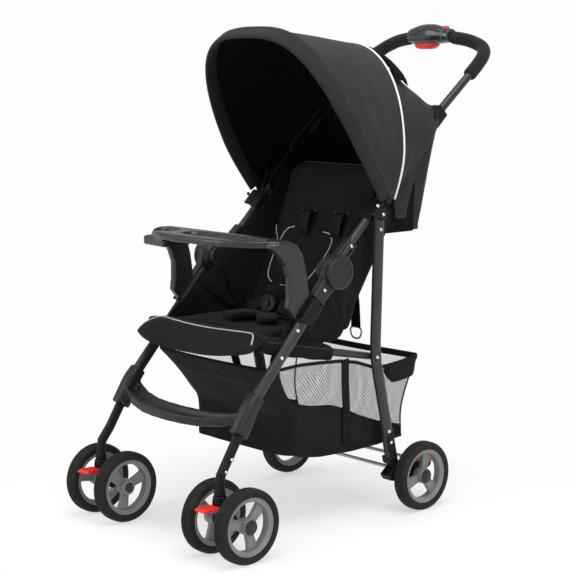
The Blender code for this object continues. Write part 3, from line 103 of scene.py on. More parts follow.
def newMaterial(name, roughness, metallic=0.0, ior=1.5, sheen=0.0, coat=0.0, gloss=0.5):
    material = bpy.data.materials.new(name)
    material.use_nodes = True
    shader = material.node_tree.nodes["Principled BSDF"]
    finish = {"Roughness": roughness, "Metallic": metallic, "IOR": ior, "Specular IOR Level": gloss,
              "Coat Weight": coat, "Sheen Weight": sheen, "Sheen Roughness": 0.45}
    for socket, value in finish.items():
        shader.inputs[socket].default_value = value
    return material, material.node_tree, shader


# a Scale of 1000 / mm repeats a noise or pore every mm millimetres; a wave texture's band and gap
# together take 314 / Scale millimetres, so bandScale / mm gives bands of that width
bandScale = 1000 / 6.28


def driftingColour(tree, shader, dark, light, patchMm, low=0.35, high=0.65, detail=4.0):
    # the colour wanders between two hex values; gives back the coordinates for the other patterns
    place = addNode(tree, "ShaderNodeTexCoord").outputs["Object"]
    noise = addNode(tree, "ShaderNodeTexNoise", None, {"Vector": place, "Scale": 1000 / patchMm, "Detail": detail})
    ramp = addNode(tree, "ShaderNodeValToRGB", None, {"Fac": noise.outputs["Fac"]}, shader.inputs["Base Color"])
    for stop, position, colour in zip(ramp.color_ramp.elements, (low, high), (dark, light)):
        stop.position = position
        stop.color = toLinear(colour)
    return place


def mouldedPlastic(name, dark, light, roughness, grainMm, strength, coat=0.0, gloss=0.3):
    # injection-moulded: slight colour drift, fine spark-eroded grain, handling marks that vary the gloss
    material, tree, shader = newMaterial(name, roughness, 0.0, 1.49, 0.0, coat, gloss)
    place = driftingColour(tree, shader, dark, light, 111.1)
    grain = addNode(tree, "ShaderNodeTexNoise", None, {"Vector": place, "Scale": 1000 / grainMm, "Detail": 3.0})
    addNode(tree, "ShaderNodeBump", None, {
        "Height": grain.outputs["Fac"], "Strength": strength, "Distance": 0.0004}, shader.inputs["Normal"])
    marks = addNode(tree, "ShaderNodeTexNoise", None, {"Vector": place, "Scale": 1000 / 22.22, "Detail": 6.0})
    addNode(tree, "ShaderNodeMapRange", None, {
        "Value": marks.outputs["Fac"], "From Min": 0.3, "From Max": 0.7,
        "To Min": roughness - 0.05, "To Max": roughness + 0.07}, shader.inputs["Roughness"])
    return material


def wovenCloth(name, dark, light, threadMm, strength, roughness=0.92, sheen=0.03, wrinkle=0.35, gloss=0.2):
    # woven polyester: crossed threads, drawn coarser than the real 0.4 mm so that they show, over soft creases
    material, tree, shader = newMaterial(name, roughness, 0.0, 1.46, sheen, 0.0, gloss)
    place = driftingColour(tree, shader, dark, light, 71.43, 0.3, 0.7, 6.0)
    threads = []
    for axis in "XYZ":
        threads.append(addNode(tree, "ShaderNodeTexWave", {"wave_type": "BANDS", "bands_direction": axis}, {
            "Vector": place, "Scale": bandScale / threadMm, "Distortion": 0.6, "Detail": 1.0, "Detail Scale": 3.0}))
    crossed = addNode(tree, "ShaderNodeMath", {"operation": "MULTIPLY"}, {
        0: threads[0].outputs["Fac"], 1: threads[1].outputs["Fac"]})
    weave = addNode(tree, "ShaderNodeMath", {"operation": "ADD"}, {0: crossed.outputs[0], 1: threads[2].outputs["Fac"]})
    ripple = addNode(tree, "ShaderNodeTexNoise", None, {"Vector": place, "Scale": 1000 / 45.45, "Detail": 2.0})
    creases = addNode(tree, "ShaderNodeBump", None, {
        "Height": ripple.outputs["Fac"], "Strength": wrinkle, "Distance": 0.004})
    addNode(tree, "ShaderNodeBump", None, {
        "Height": weave.outputs[0], "Strength": strength, "Distance": 0.0004, "Normal": creases.outputs["Normal"]},
        shader.inputs["Normal"])
    return material


def tubePaint():
    # powder-coated aluminium tube: satin dark grey, faint orange peel
    material, tree, shader = newMaterial("Powder-coated aluminium tube", 0.34, 0.0, 1.5, 0.0, 0.05, 0.35)
    place = driftingColour(tree, shader, "#252526", "#2c2c2d", 83.33)
    peel = addNode(tree, "ShaderNodeTexNoise", None, {"Vector": place, "Scale": 1000 / 1.2, "Detail": 2.0})
    addNode(tree, "ShaderNodeBump", None, {
        "Height": peel.outputs["Fac"], "Strength": 0.04, "Distance": 0.0003}, shader.inputs["Normal"])
    return material


def brushedSteel(name, dark, light, roughness):
    # zinc-plated steel: bright, with a drawn grain of 0.3 mm lines
    material, tree, shader = newMaterial(name, roughness, 1.0)
    place = driftingColour(tree, shader, dark, light, 6.25, 0.3, 0.7, 2.0)
    grain = addNode(tree, "ShaderNodeTexWave", {"bands_direction": "X"}, {
        "Vector": place, "Scale": bandScale / 0.3185, "Distortion": 3.0})
    addNode(tree, "ShaderNodeBump", None, {
        "Height": grain.outputs["Fac"], "Strength": 0.06, "Distance": 0.0002}, shader.inputs["Normal"])
    return material


def foamRubber():
    # extruded closed-cell foam: matt, with pores drawn at 1.5 mm (0.3 mm on the real one) so that they show
    material, tree, shader = newMaterial("Extruded foam grip", 0.95, 0.0, 1.5, 0.1, 0.0, 0.2)
    place = driftingColour(tree, shader, "#141414", "#202020", 4.167)
    pores = addNode(tree, "ShaderNodeTexVoronoi", None, {"Vector": place, "Scale": 1000 / 1.5})
    addNode(tree, "ShaderNodeBump", None, {
        "Height": pores.outputs["Distance"], "Strength": 0.55, "Distance": 0.0006}, shader.inputs["Normal"])
    return material


def evaTyre():
    # moulded EVA tyre: dull black with dust in its pores
    material, tree, shader = newMaterial("Moulded EVA tyre", 0.85, 0.0, 1.5, 0.03, 0.0, 0.25)
    place = driftingColour(tree, shader, "#191816", "#272522", 16.67, 0.3, 0.75, 5.0)
    pores = addNode(tree, "ShaderNodeTexNoise", None, {"Vector": place, "Scale": 1000 / 1.4, "Detail": 2.0})
    addNode(tree, "ShaderNodeBump", None, {
        "Height": pores.outputs["Fac"], "Strength": 0.4, "Distance": 0.0005}, shader.inputs["Normal"])
    return material


def netCloth(name, across):
    # knitted net: black threads on the slant, drawn 5.7 mm apart (2 mm on the real one) so that they show
    material, tree, shader = newMaterial(name, 0.8, 0.0, 1.46, 0.0, 0.0, 0.1)
    shader.inputs["Base Color"].default_value = toLinear("#1c1c1c")
    place = addNode(tree, "ShaderNodeTexCoord").outputs["Object"]
    parts = addNode(tree, "ShaderNodeSeparateXYZ", None, {"Vector": place})
    threads = []
    for slant in (1.0, -1.0):
        lean = addNode(tree, "ShaderNodeMath", {"operation": "MULTIPLY_ADD"}, {
            0: parts.outputs["Z"], 1: slant, 2: parts.outputs[across]})
        turn = addNode(tree, "ShaderNodeMath", {"operation": "MULTIPLY"}, {0: lean.outputs[0], 1: math.pi / 0.0080})
        sine = addNode(tree, "ShaderNodeMath", {"operation": "SINE"}, {0: turn.outputs[0]})
        threads.append(addNode(tree, "ShaderNodeMath", {"operation": "ABSOLUTE"}, {0: sine.outputs[0]}))
    nearest = addNode(tree, "ShaderNodeMath", {"operation": "MINIMUM"}, {
        0: threads[0].outputs[0], 1: threads[1].outputs[0]})
    addNode(tree, "ShaderNodeMapRange", None, {
        "Value": nearest.outputs[0], "From Min": 0.02, "From Max": 0.42, "To Min": 0.78, "To Max": 0.03},
        shader.inputs["Alpha"])
    return material


def webbing():
    # woven polypropylene webbing: ribbed across, ribs and grooves of 1.6 mm
    material, tree, shader = newMaterial("Woven polypropylene webbing", 0.7, 0.0, 1.49, 0.0, 0.0, 0.15)
    place = driftingColour(tree, shader, "#0b0b0c", "#131314", 16.67)
    ribs = addNode(tree, "ShaderNodeTexWave", {"bands_direction": "Z"}, {
        "Vector": place, "Scale": bandScale / 1.6, "Distortion": 0.3})
    addNode(tree, "ShaderNodeBump", None, {
        "Height": ribs.outputs["Fac"], "Strength": 0.5, "Distance": 0.0005}, shader.inputs["Normal"])
    return material


tube = tubePaint()
blackNylon = mouldedPlastic("Moulded glass-filled nylon", "#0f0f10", "#161617", 0.46, 0.8, 0.18, 0.0, 0.18)
greyAbs = mouldedPlastic("Moulded satin ABS", "#1d1d1e", "#242425", 0.40, 0.8, 0.14, 0.0, 0.30)
trayAbs = mouldedPlastic("Moulded tray ABS", "#242425", "#2a2a2b", 0.30, 0.9, 0.08, 0.0, 0.45)
glossAbs = mouldedPlastic("Moulded gloss ABS", "#232827", "#2b3130", 0.20, 1.2, 0.05, 0.2, 0.40)
redAbs = mouldedPlastic("Moulded red ABS", "#cf1f1b", "#e12a24", 0.30, 1.0, 0.08, 0.25)
rimPlastic = mouldedPlastic("Moulded grey polypropylene", "#747473", "#80807f", 0.42, 0.9, 0.12, 0.0, 0.35)
capPlastic = mouldedPlastic("Moulded black hub cap", "#232323", "#2b2b2b", 0.34, 0.9, 0.10, 0.0, 0.30)
# the parting lines are the housing's green-grey made lighter: a painted highlight along the seams of the mould
partingLineHighlight = mouldedPlastic("Parting line of the mould", "#4b504f", "#5b605f", 0.35, 0.9, 0.05)
foam = foamRubber()
tyreRubber = evaTyre()
zinc = brushedSteel("Zinc-plated steel", "#8f8f90", "#b4b4b4", 0.30)
rivetSteel = brushedSteel("Polished rivet head", "#c9c9c9", "#e6e6e6", 0.22)
seatCloth = wovenCloth("Woven polyester seat cloth", "#101010", "#171717", 1.3, 0.25)
padCloth = wovenCloth("Woven polyester pad cloth", "#141414", "#1b1b1b", 1.3, 0.25)
canopyCloth = wovenCloth("Woven polyester canopy cloth", "#262625", "#2c2c2b", 1.3, 0.2, 0.85, 0.05, 0.12)
bindingCloth = wovenCloth("Woven polyester edge binding", "#222222", "#282827", 1.3, 0.2, 0.85, 0.05, 0.10)
liningCloth = wovenCloth("Coated canopy lining", "#0b0b0b", "#101010", 1.3, 0.2, 0.8, 0.0, 0.3, 0.1)
basketCloth = wovenCloth("Woven polyester basket cloth", "#141414", "#1b1b1b", 1.5, 0.3)
whitePiping = wovenCloth("White reflective piping", "#d6d6d3", "#efefec", 1.0, 0.15, 0.6, 0.0, 0.0)
silverPiping = wovenCloth("Silver piping", "#9a9a99", "#bdbdbb", 1.0, 0.15, 0.5, 0.0, 0.0)
sideNet = netCloth("Knitted polyester net, sides", "Y")
rearNet = netCloth("Knitted polyester net, rear", "X")
strapWeb = webbing()
# the seams are drawn lighter than the near-black cloth they sew: partly the thread's own dark grey, partly a painted
# highlight along the seams and hem folds
seamThreadAndHighlight = wovenCloth("Polyester sewing thread", "#242424", "#303030", 0.8, 0.3, 0.7, 0.1, 0.0)
print("materials made")


def bothSides(*names):
    return [f"{name}_{side}" for name in names for side in ("left", "right")]


nodeLooks = {
    tube: bothSides("front_leg", "rear_leg") + ["handle_tube", "seat_tube"],
    blackNylon: bothSides("leg_foot", "caster_fork", "rear_foot", "top_joint", "canopy_clip", "tray_bracket")
                + ["buckle", "buckle_button"],
    greyAbs: bothSides("hub_lower", "hub_cap", "hub_upper") + ["footrest_bar"],
    trayAbs: ["tray"],
    glossAbs: ["handle_module"],
    redAbs: bothSides("swivel_lock", "brake_pedal") + ["fold_lever", "lock_button"],
    foam: bothSides("grip"),
    zinc: ["rear_axle", "brake_bar"],
    seatCloth: ["seat_pad", "leg_rest", "backrest", "canopy_bow_front", "canopy_bow_mid"],
    canopyCloth: ["canopy_front_panel", "canopy_rear_panel", "rear_curtain"],
    basketCloth: ["basket"],
    tyreRubber: [name for name in nodes if "_tyre_" in name],
    rimPlastic: [name for name in nodes if "_rim_" in name],
}
for look, names in nodeLooks.items():
    for name in names:
        nodes[name].data.materials.clear()
        nodes[name].data.materials.append(look)


def newPiece(name, points, faces, looks, body, faceLooks=None, crease=50):
    mesh = bpy.data.meshes.new(name)
    mesh.from_pydata([tuple(p) for p in points], [], faces)
    for look in looks if isinstance(looks, list) else [looks]:
        mesh.materials.append(look)
    if faceLooks:
        mesh.polygons.foreach_set("material_index", faceLooks)
    mesh.shade_smooth()
    mesh.set_sharp_from_angle(angle=math.radians(crease))
    mesh.validate()
    piece = bpy.data.objects.new(name, mesh)
    bpy.context.scene.collection.objects.link(piece)
    if body:
        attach(piece, body)
    return piece


def resample(path, count):
    # the same line in evenly spaced points
    lengths = [0.0]
    for a, b in zip(path, path[1:]):
        lengths.append(lengths[-1] + (b - a).length)
    made, i = [], 0
    for step in range(count):
        goal = lengths[-1] * step / (count - 1)
        while i < len(path) - 2 and lengths[i + 1] < goal:
            i += 1
        span = max(lengths[i + 1] - lengths[i], 1e-9)
        made.append(path[i].lerp(path[i + 1], min(max((goal - lengths[i]) / span, 0.0), 1.0)))
    return made


def smoothPath(points, count):
    # a curve through the points, in evenly spaced steps
    dense = []
    ends = [points[0] * 2 - points[1]] + list(points) + [points[-1] * 2 - points[-2]]
    for a, b, c, d in zip(ends, ends[1:], ends[2:], ends[3:]):
        for i in range(12):
            t = i / 12
            dense.append(0.5 * (2 * b + (c - a) * t + (2 * a - 5 * b + 4 * c - d) * t * t
                                + (3 * b - a - 3 * c + d) * t * t * t))
    return resample(dense + [points[-1]], count)


def roundSection(width, thickness, corner=None, steps=3):
    # a rounded rectangle as (across, out) points
    corner = min(corner or thickness / 2, thickness / 2, width / 2) * 0.999
    made = []
    for quarter, (u, v) in enumerate([(1, 1), (-1, 1), (-1, -1), (1, -1)]):
        for i in range(steps + 1):
            angle = math.radians(90 * quarter + 90 * i / steps)
            made.append((u * (width / 2 - corner) + corner * math.cos(angle),
                         v * (thickness / 2 - corner) + corner * math.sin(angle)))
    return made


def ovalSection(width, thickness, count=12):
    return [(width / 2 * math.cos(2 * math.pi * i / count), thickness / 2 * math.sin(2 * math.pi * i / count))
            for i in range(count)]


def loftRings(name, rings, looks, body, closed=False, crease=50):
    # closed skin through rings of equal counts, capped at both ends
    count = len(rings[0])
    points = [p for ring in rings for p in ring]
    faces = []
    for i in range(len(rings) if closed else len(rings) - 1):
        j = (i + 1) % len(rings)
        for k in range(count):
            m = (k + 1) % count
            faces.append((i * count + k, i * count + m, j * count + m, j * count + k))
    if not closed:
        faces.append(tuple(reversed(range(count))))
        faces.append(tuple((len(rings) - 1) * count + k for k in range(count)))
    return newPiece(name, points, faces, looks, body, None, crease)


def sweep(name, path, across, section, looks, body, swell=None, closed=False, crease=50):
    # a section carried along a path; across is the section's wide side
    rings = []
    for i, place in enumerate(path):
        before = path[i - 1] if i or closed else path[0]
        after = path[(i + 1) % len(path)] if i < len(path) - 1 or closed else path[-1]
        ahead = (after - before).normalized()
        side = across[i] if isinstance(across, list) else across
        side = (side - ahead * side.dot(ahead)).normalized()
        out = side.cross(ahead)
        size = swell(i / (len(path) - 1)) if swell else 1.0
        wide, high = size if isinstance(size, tuple) else (size, size)
        rings.append([place + side * u * wide + out * v * high for u, v in section])
    return loftRings(name, rings, looks, body, closed, crease)


def gridNormals(grid):
    made = []
    for i, row in enumerate(grid):
        line = []
        for j, _ in enumerate(row):
            down = grid[min(i + 1, len(grid) - 1)][j] - grid[max(i - 1, 0)][j]
            along = row[min(j + 1, len(row) - 1)] - row[max(j - 1, 0)]
            normal = down.cross(along)
            line.append(normal.normalized() if normal.length > 1e-12 else Vector((0, 0, 1)))
        made.append(line)
    return made


def thickSheet(name, grid, thickness, look, body, backLook=None, flip=False):
    # cloth of one thickness on a grid of points, with its own back
    normals = gridNormals(grid)
    rows, columns = len(grid), len(grid[0])
    front = [p for row in grid for p in row]
    sign = -1 if flip else 1
    back = [p - sign * n * thickness for row, line in zip(grid, normals) for p, n in zip(row, line)]
    size = rows * columns
    faces, looks = [], []

    def add(face, which):
        faces.append(tuple(reversed(face)) if flip else face)
        looks.append(which)

    for i in range(rows - 1):
        for j in range(columns - 1):
            a, b = i * columns + j, (i + 1) * columns + j
            c, d = b + 1, a + 1
            add((a, b, c, d), 0)
            add((d + size, c + size, b + size, a + size), 1)
    border = [j for j in range(columns)] + [i * columns + columns - 1 for i in range(1, rows)]
    border += [(rows - 1) * columns + j for j in range(columns - 2, -1, -1)]
    border += [i * columns for i in range(rows - 2, 0, -1)]
    for a, b in zip(border, border[1:] + border[:1]):
        add((a, b, b + size, a + size), 0)
    return newPiece(name, front + back, faces, [look, backLook or look], body, looks)


def spread(count, pack=0.6):
    # 0 to 1 in steps that close up towards both ends
    made = []
    for i in range(count):
        t = i / (count - 1)
        made.append(t * (1 - pack) + pack * (0.5 - 0.5 * math.cos(math.pi * t)))
    return made


def pillow(name, grid, depth, edge, look, body, backShare=1.0, groove=None):
    # a closed pad on a grid: full in the middle, pinched to a seam round its border
    normals = gridNormals(grid)
    rows, columns = len(grid), len(grid[0])
    points, index = [], {}
    for i in range(rows):
        for j in range(columns):
            v, u = i / (rows - 1), j / (columns - 1)
            full = 1.0
            for part in (min(v, 1 - v) / edge[0], min(u, 1 - u) / edge[1]):
                full *= math.sin(min(1.0, part) * math.pi / 2) ** 0.62  # how round the pad turns in to its seam
            pinch = groove(v, u) if groove else 0.0
            lift = normals[i][j] * (depth / 2 * full - pinch * min(1.0, full * 2))
            index[i, j, 0] = len(points)
            points.append(grid[i][j] + lift)
            if i in (0, rows - 1) or j in (0, columns - 1):
                index[i, j, 1] = index[i, j, 0]
            else:
                index[i, j, 1] = len(points)
                points.append(grid[i][j] - normals[i][j] * (depth / 2 * full * backShare))
    faces = []
    for i in range(rows - 1):
        for j in range(columns - 1):
            for side in (0, 1):
                ring = [index[i, j, side], index[i + 1, j, side], index[i + 1, j + 1, side], index[i, j + 1, side]]
                faces.append(tuple(ring) if side == 0 else tuple(reversed(ring)))
    return newPiece(name, points, faces, look, body, None, 75)


def mirrored(vector, side):
    return Vector((vector.x * side, vector.y, vector.z))


def forSide(grid, side):
    # rows of the right side run the other way, so that their faces still look outwards
    return grid if side > 0 else [list(reversed(row)) for row in grid]


canopy = {
    "pivot": Vector((-0.098, 0.677)),
    "frontBow": {"footX": 0.2045, "halfWidth": 0.2132, "height": 0.4021, "squareness": 3.0,
                 "angle": 122.8, "lean": -3.5, "footBack": 0.0},
    "midBow": {"footX": 0.196, "halfWidth": 0.2190, "height": 0.333, "squareness": 2.08,
               "angle": 71.0, "lean": 5.3, "footBack": 0.022},
    "rearEdge": {"footX": 0.190, "halfWidth": 0.197, "height": 0.271, "squareness": 6.8,
                 "angle": 39.2, "lean": 5.7, "footBack": 0.0},
    "footGap": {"front": 0.012, "mid": 0.008, "rear": 0.012},  # the cloth starts this far above the pivot
    "fullness": 0.0015,  # cloth between two bows stands this far over the straight line
    "cloth": 0.0016,
    "pipingWidth": 0.0046,
    "columns": 97,
    # a panel turns from one bow to the next about the pivot: the angle square to its middle line,
    # the sine of half its opening, and how far from the pivot that is measured
    "frontTurn": {"square": 192, "opening": 0.438, "reach": 0.28},
    "rearTurn": {"square": 151, "opening": math.sin(math.radians(15)), "reach": 0.24},
    "endRadius": 0.0092,  # plastic end of a bow
    "sleeve": (0.016, 0.0062),  # width and thickness
    "hem": (0.013, 0.0050),
    "edgeSeams": [(0.0078, 0.0004), (-0.0015, 0.0036)],  # across and out from the front bow
    "edgePad": [(-0.0206, -0.0040), (-0.0205, -0.0018), (-0.0192, 0.0004), (-0.0164, 0.0018), (-0.0110, 0.0028),
                (-0.0030, 0.0034), (0.0050, 0.0034), (0.0110, 0.0029), (0.0150, 0.0020), (0.0170, 0.0008),
                (0.0173, -0.0006), (0.0160, -0.0024), (0.0130, -0.0040), (0.0060, -0.0058), (-0.0030, -0.0068),
                (-0.0110, -0.0072), (-0.0170, -0.0066), (-0.0198, -0.0056)],
    "padBehind": 0.0100,  # the bow runs this far from the middle of its pad
}
pivotPoint = at(0.0, *canopy["pivot"])


def bowPoint(turn, bow):
    # a point on a canopy bow; turn runs 0 to 180 degrees from left to right
    c, s = math.cos(math.radians(turn)), math.sin(math.radians(turn))
    power = 2 / bow["squareness"]
    rise = abs(s) ** power
    bulge = math.sin(min(1.0, rise / 0.35) * math.pi / 2)
    halfWidth = bow["footX"] + (bow["halfWidth"] - bow["footX"]) * bulge
    lean = math.radians(bow["angle"] + bow["lean"] * rise)
    reach = bow["height"] * rise
    back = bow["footBack"] * (1 - rise) ** 4
    return at(math.copysign(abs(c) ** power, c) * halfWidth,
              canopy["pivot"].x + back + reach * math.cos(lean), canopy["pivot"].y + reach * math.sin(lean))


def bowLine(bow, count, gap):
    # evenly spaced from foot to foot, above the gap at the pivot
    turns = [0.02 * 1.35 ** i for i in range(16)] + [2.6 + 1.6 * i for i in range(110)]
    turns += [180 - 0.02 * 1.35 ** i for i in range(15, -1, -1)]
    dense = [bowPoint(turn, bow) for turn in turns]
    dense = [p for p in dense if (p.yz - pivotPoint.yz).length > gap]
    return resample(dense, count)


def canopyGrid(firstLine, secondLine, start, end, rows, wrinkle):
    # fabric drawn tight between two bows
    grid = []
    for i in range(rows + 1):
        share = start + (end - start) * i / rows
        row = []
        for k, (a, b) in enumerate(zip(firstLine, secondLine)):
            place = a.lerp(b, share)
            radius = (place - pivotPoint).length
            lift = canopy["fullness"] * math.sin(math.pi * share) + wrinkle(share, k / (len(firstLine) - 1), radius)
            row.append(place + (place - pivotPoint) / radius * lift)
        grid.append(row)
    return grid


def frontWrinkle(share, across, radius):
    # shallow pulls that run from each foot and from the mid bow
    edge = min(across, 1 - across)
    pulls = 0.0011 * math.sin(share * 19 + across * 9) * math.exp(-((edge - 0.20) / 0.12) ** 2)
    pulls += 0.0007 * math.sin(across * 41 + share * 5) * math.sin(math.pi * share)
    return pulls * min(1.0, radius / 0.2)


def rearWrinkle(share, across, radius):
    edge = min(across, 1 - across)
    pulls = 0.0013 * math.sin(share * 16 - across * 7) * math.exp(-((edge - 0.22) / 0.14) ** 2)
    pulls += 0.0010 * math.sin(across * 33 + 1.0) * math.sin(math.pi * share)
    return pulls * min(1.0, radius / 0.2)


def bowAcross(line, count):
    # the direction in the fabric, square to the bow and to its outward side
    made = []
    for i, place in enumerate(line):
        ahead = (line[min(i + 1, count - 1)] - line[max(i - 1, 0)]).normalized()
        out = place - pivotPoint
        out = (out - ahead * out.dot(ahead)).normalized()
        made.append(out.cross(ahead).normalized())
    return made


def makeCanopy():
    count = canopy["columns"]
    front = bowLine(canopy["frontBow"], count, canopy["footGap"]["front"])
    mid = bowLine(canopy["midBow"], count, canopy["footGap"]["mid"])
    rear = bowLine(canopy["rearEdge"], count, canopy["footGap"]["rear"])
    across, half = bowAcross(front, count), count // 2
    if (mid[half] - front[half]).dot(across[half]) < 0:  # towards the mid bow
        across = [-a for a in across]
    padShape = [(u - canopy["padBehind"], v) for u, v in canopy["edgePad"]]
    outward = across[half].cross((front[half + 1] - front[half - 1]).normalized())
    if outward.dot(front[half] - pivotPoint) < 0:
        padShape = [(u, -v) for u, v in reversed(padShape)]

    def padSize(t):
        edge = min(t, 1 - t)
        return (0.78 + 0.22 * min(1.0, edge / 0.12), 0.75 + 0.25 * min(1.0, edge / 0.08))

    binding = sweep("canopy_front_binding", front, across, padShape, bindingCloth, "canopy_front", padSize)

    # the panel starts under the padded edge and ends under the white piping
    frontGrid = canopyGrid(front, mid, 0.01, 1.0, 26, frontWrinkle)
    panel = thickSheet("canopy_panel_front", frontGrid, canopy["cloth"], canopyCloth, None, liningCloth)
    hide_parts("canopy_front_panel")
    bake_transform(panel)

    rearGrid = canopyGrid(mid, rear, 0.0, 1.0, 22, rearWrinkle)
    back = thickSheet("canopy_panel_rear", rearGrid, canopy["cloth"], canopyCloth, None, liningCloth)
    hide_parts("canopy_rear_panel")
    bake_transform(back)

    midAcross = bowAcross(mid, count)
    sleeve = sweep("canopy_bow_sleeve", [p + (pivotPoint - p).normalized() * 0.0034 for p in mid], midAcross,
                   ovalSection(*canopy["sleeve"], 12), liningCloth, "canopy_mid")
    piping = sweep("canopy_white_piping", [p + (p - pivotPoint).normalized() * 0.0012 for p in mid], midAcross,
                   ovalSection(canopy["pipingWidth"], canopy["pipingWidth"], 12), whitePiping, "canopy_mid")
    hemPath = [p + (pivotPoint - p).normalized() * 0.001 for p in rear]
    hem = sweep("canopy_rear_hem", hemPath, bowAcross(rear, count), ovalSection(*canopy["hem"], 12), canopyCloth,
                "handle_frame")

    # flap over the window in the rear panel, padded and loose at its lower end
    cover = []
    for i in range(21):
        t = i / 20
        row = []
        for k in range(33):
            u = 0.30 + 0.40 * k / 32
            place = u * (count - 1)
            first = min(int(place), count - 2)
            a = mid[first].lerp(mid[first + 1], place - first)
            b = rear[first].lerp(rear[first + 1], place - first)
            point = a.lerp(b, 0.06 + 0.24 * t)
            proud = 0.005 + 0.008 * math.sin(math.pi * min(1.0, t * 0.9))
            row.append(point + (point - pivotPoint).normalized() * proud)
        cover.append(row)
    window = pillow("canopy_window_flap", cover, 0.008, (0.08, 0.06), liningCloth, None)
    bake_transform(window)

    # seams stitched along the padded edge
    for number, (u, v) in enumerate(canopy["edgeSeams"]):
        seam = [a + s * u + (a - pivotPoint).normalized() * v for a, s in zip(front, across)]
        stitch = sweep(f"canopy_edge_seam_{number}", seam, across, ovalSection(0.0020, 0.0014, 8), seamThreadAndHighlight,
                       "canopy_front")

    # plastic ends of the bows, on the pivot
    for name, x, cover in (("front", 0.2000, binding), ("mid", 0.1866, sleeve)):
        for side, word in ((1, "left"), (-1, "right")):
            up = Vector((0.0, *sideWay(canopy[name + "Bow"]["angle"])))
            aside = Vector((0, -up.z, up.y))
            radius, outline = canopy["endRadius"], []
            for i in range(13):
                angle = math.radians(180 + 180 * i / 12)
                outline.append(up * (radius * math.sin(angle)) + aside * (radius * math.cos(angle)))
            outline += [aside * 0.0074 + up * 0.040, aside * 0.0050 + up * 0.0445,
                        aside * -0.0050 + up * 0.0445, aside * -0.0074 + up * 0.040]
            rings = []
            for out, inset in ((-0.0029, 0.90), (-0.0022, 1.0), (0.0022, 1.0), (0.0029, 0.90)):
                middle = up * 0.015
                rings.append([pivotPoint + Vector((side * (x + out), 0, 0)) + middle + (p - middle) * inset
                              for p in outline])
            loftRings(f"canopy_bow_end_{name}_{word}", rings, blackNylon, "canopy_" + name, False, 30)
        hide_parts("canopy_bow_" + name)
        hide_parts("canopy_bow_" + name)


makeCanopy()
print("canopy made")


seat = {
    "width": 0.320,
    "padTop": 0.419,
    "padDepth": 0.030,
    "frontY": -0.412,
    "rearY": -0.178,
    "flapWidth": 0.374,
    "flapBackY": -0.398,
    "flapFrontY": -0.494,
    "flapTop": 0.4190,
    "flapDrop": 0.041,
    "flapDepth": 0.013,
    "pipingWidth": 0.0032,
    "backFoot": Vector((-0.196, 0.409)),
    "backAngle": 65.9,
    "backLength": 0.372,
    "backWidth": 0.309,
    "backDepth": 0.036,
    "wingDepth": 0.0055,
    "wingX": {"backrest": 0.1556, "seat": 0.1622},
    "railFront": (-0.379, 0.401),
    "railFall": 0.2078,
    "strapWidth": 0.025,
    "strapDepth": 0.0018,
    "slotUp": 0.252,  # up the backrest
    "slotX": {"left": 0.058, "right": -0.043},
    "insertPipingWidth": 0.0028,
}
recline = Vector((-0.187, 0.398))  # hinge of the backrest
backUp = sideWay(seat["backAngle"])
backOut = Vector((-backUp.y, backUp.x))  # out of the front of the backrest


def backPoint(x, up, out=0.0):
    # a point of the backrest: up its length from the foot, and out from its front
    place = seat["backFoot"] + backUp * up + backOut * out
    return at(x, place.x, place.y)


def seatCushion():
    grid = []
    for v in spread(31, 0.5):
        y = seat["frontY"] + (seat["rearY"] - seat["frontY"]) * v
        row = []
        for u in spread(45, 0.5):
            x = (u - 0.5) * seat["width"]
            z = seat["padTop"] - seat["padDepth"] / 2 - 0.004 * (1 - (2 * u - 1) ** 2) * math.sin(math.pi * v)
            row.append(at(x, y, z))
        grid.append(row)

    def channel(v, u):
        return 0.0035 * math.exp(-((v - 0.52) / 0.020) ** 2) * (1 if 0.08 < u < 0.92 else 0)

    return pillow("seat_cushion", grid, seat["padDepth"], (0.10, 0.07), seatCloth, None, 1.0, channel)


def flapGrid(rows=25, columns=57):
    grid = []
    half = seat["flapWidth"] / 2
    for i in range(rows):
        v = i / (rows - 1)
        row = []
        for j in range(columns):
            u = 2 * j / (columns - 1) - 1
            side = abs(u) ** 3.4
            x = u * (half - 0.002 * v)
            backY = seat["flapBackY"] - 0.004 * u * u
            frontY = seat["flapFrontY"] + 0.030 * side
            y = backY + (frontY - backY) * v
            crest = seat["flapTop"] - 0.007 * abs(u) ** 5
            drop = 0.0012 * v if v < 0.25 else 0.0003 + seat["flapDrop"] * ((v - 0.25) / 0.75) ** 1.5
            hem = drop * (1 - 0.55 * side)
            row.append(at(x, y, crest - hem - 0.003 * abs(u) ** 12 * (1 - v)))
        grid.append(row)
    return grid


def coverOf(piece):
    return BVHTree.FromPolygons([v.co for v in piece.data.vertices], [p.vertices for p in piece.data.polygons])


def laidOn(cover, point, outward, lift):
    # the place where a cover, as it has swollen, passes over a point
    hit = cover.ray_cast(point + outward * 0.06, -outward)[0]
    return (hit or point) + outward * lift


def flapPiping(flap, grid):
    # silver piping over the crest, turned down to the hem at both ends
    columns, normals, cover = len(grid[0]), gridNormals(grid), coverOf(flap)
    path = []
    for j in range(2, columns - 2):
        u = 2 * j / (columns - 1) - 1
        v = 0.22 + 0.17 * (1 - u * u) + 0.55 * max(0.0, (abs(u) - 0.74) / 0.21) ** 2
        place = min(v, 0.97) * (len(grid) - 1)
        i = int(place)
        path.append(laidOn(cover, grid[i][j].lerp(grid[i + 1][j], place - i), normals[i][j], 0.0006))
    path = smoothPath(path[::2] + [path[-1]], 90)
    return sweep("leg_rest_piping", path, Vector((0, 0, 1)), ovalSection(seat["pipingWidth"], seat["pipingWidth"], 10),
                 silverPiping, "seat_frame")


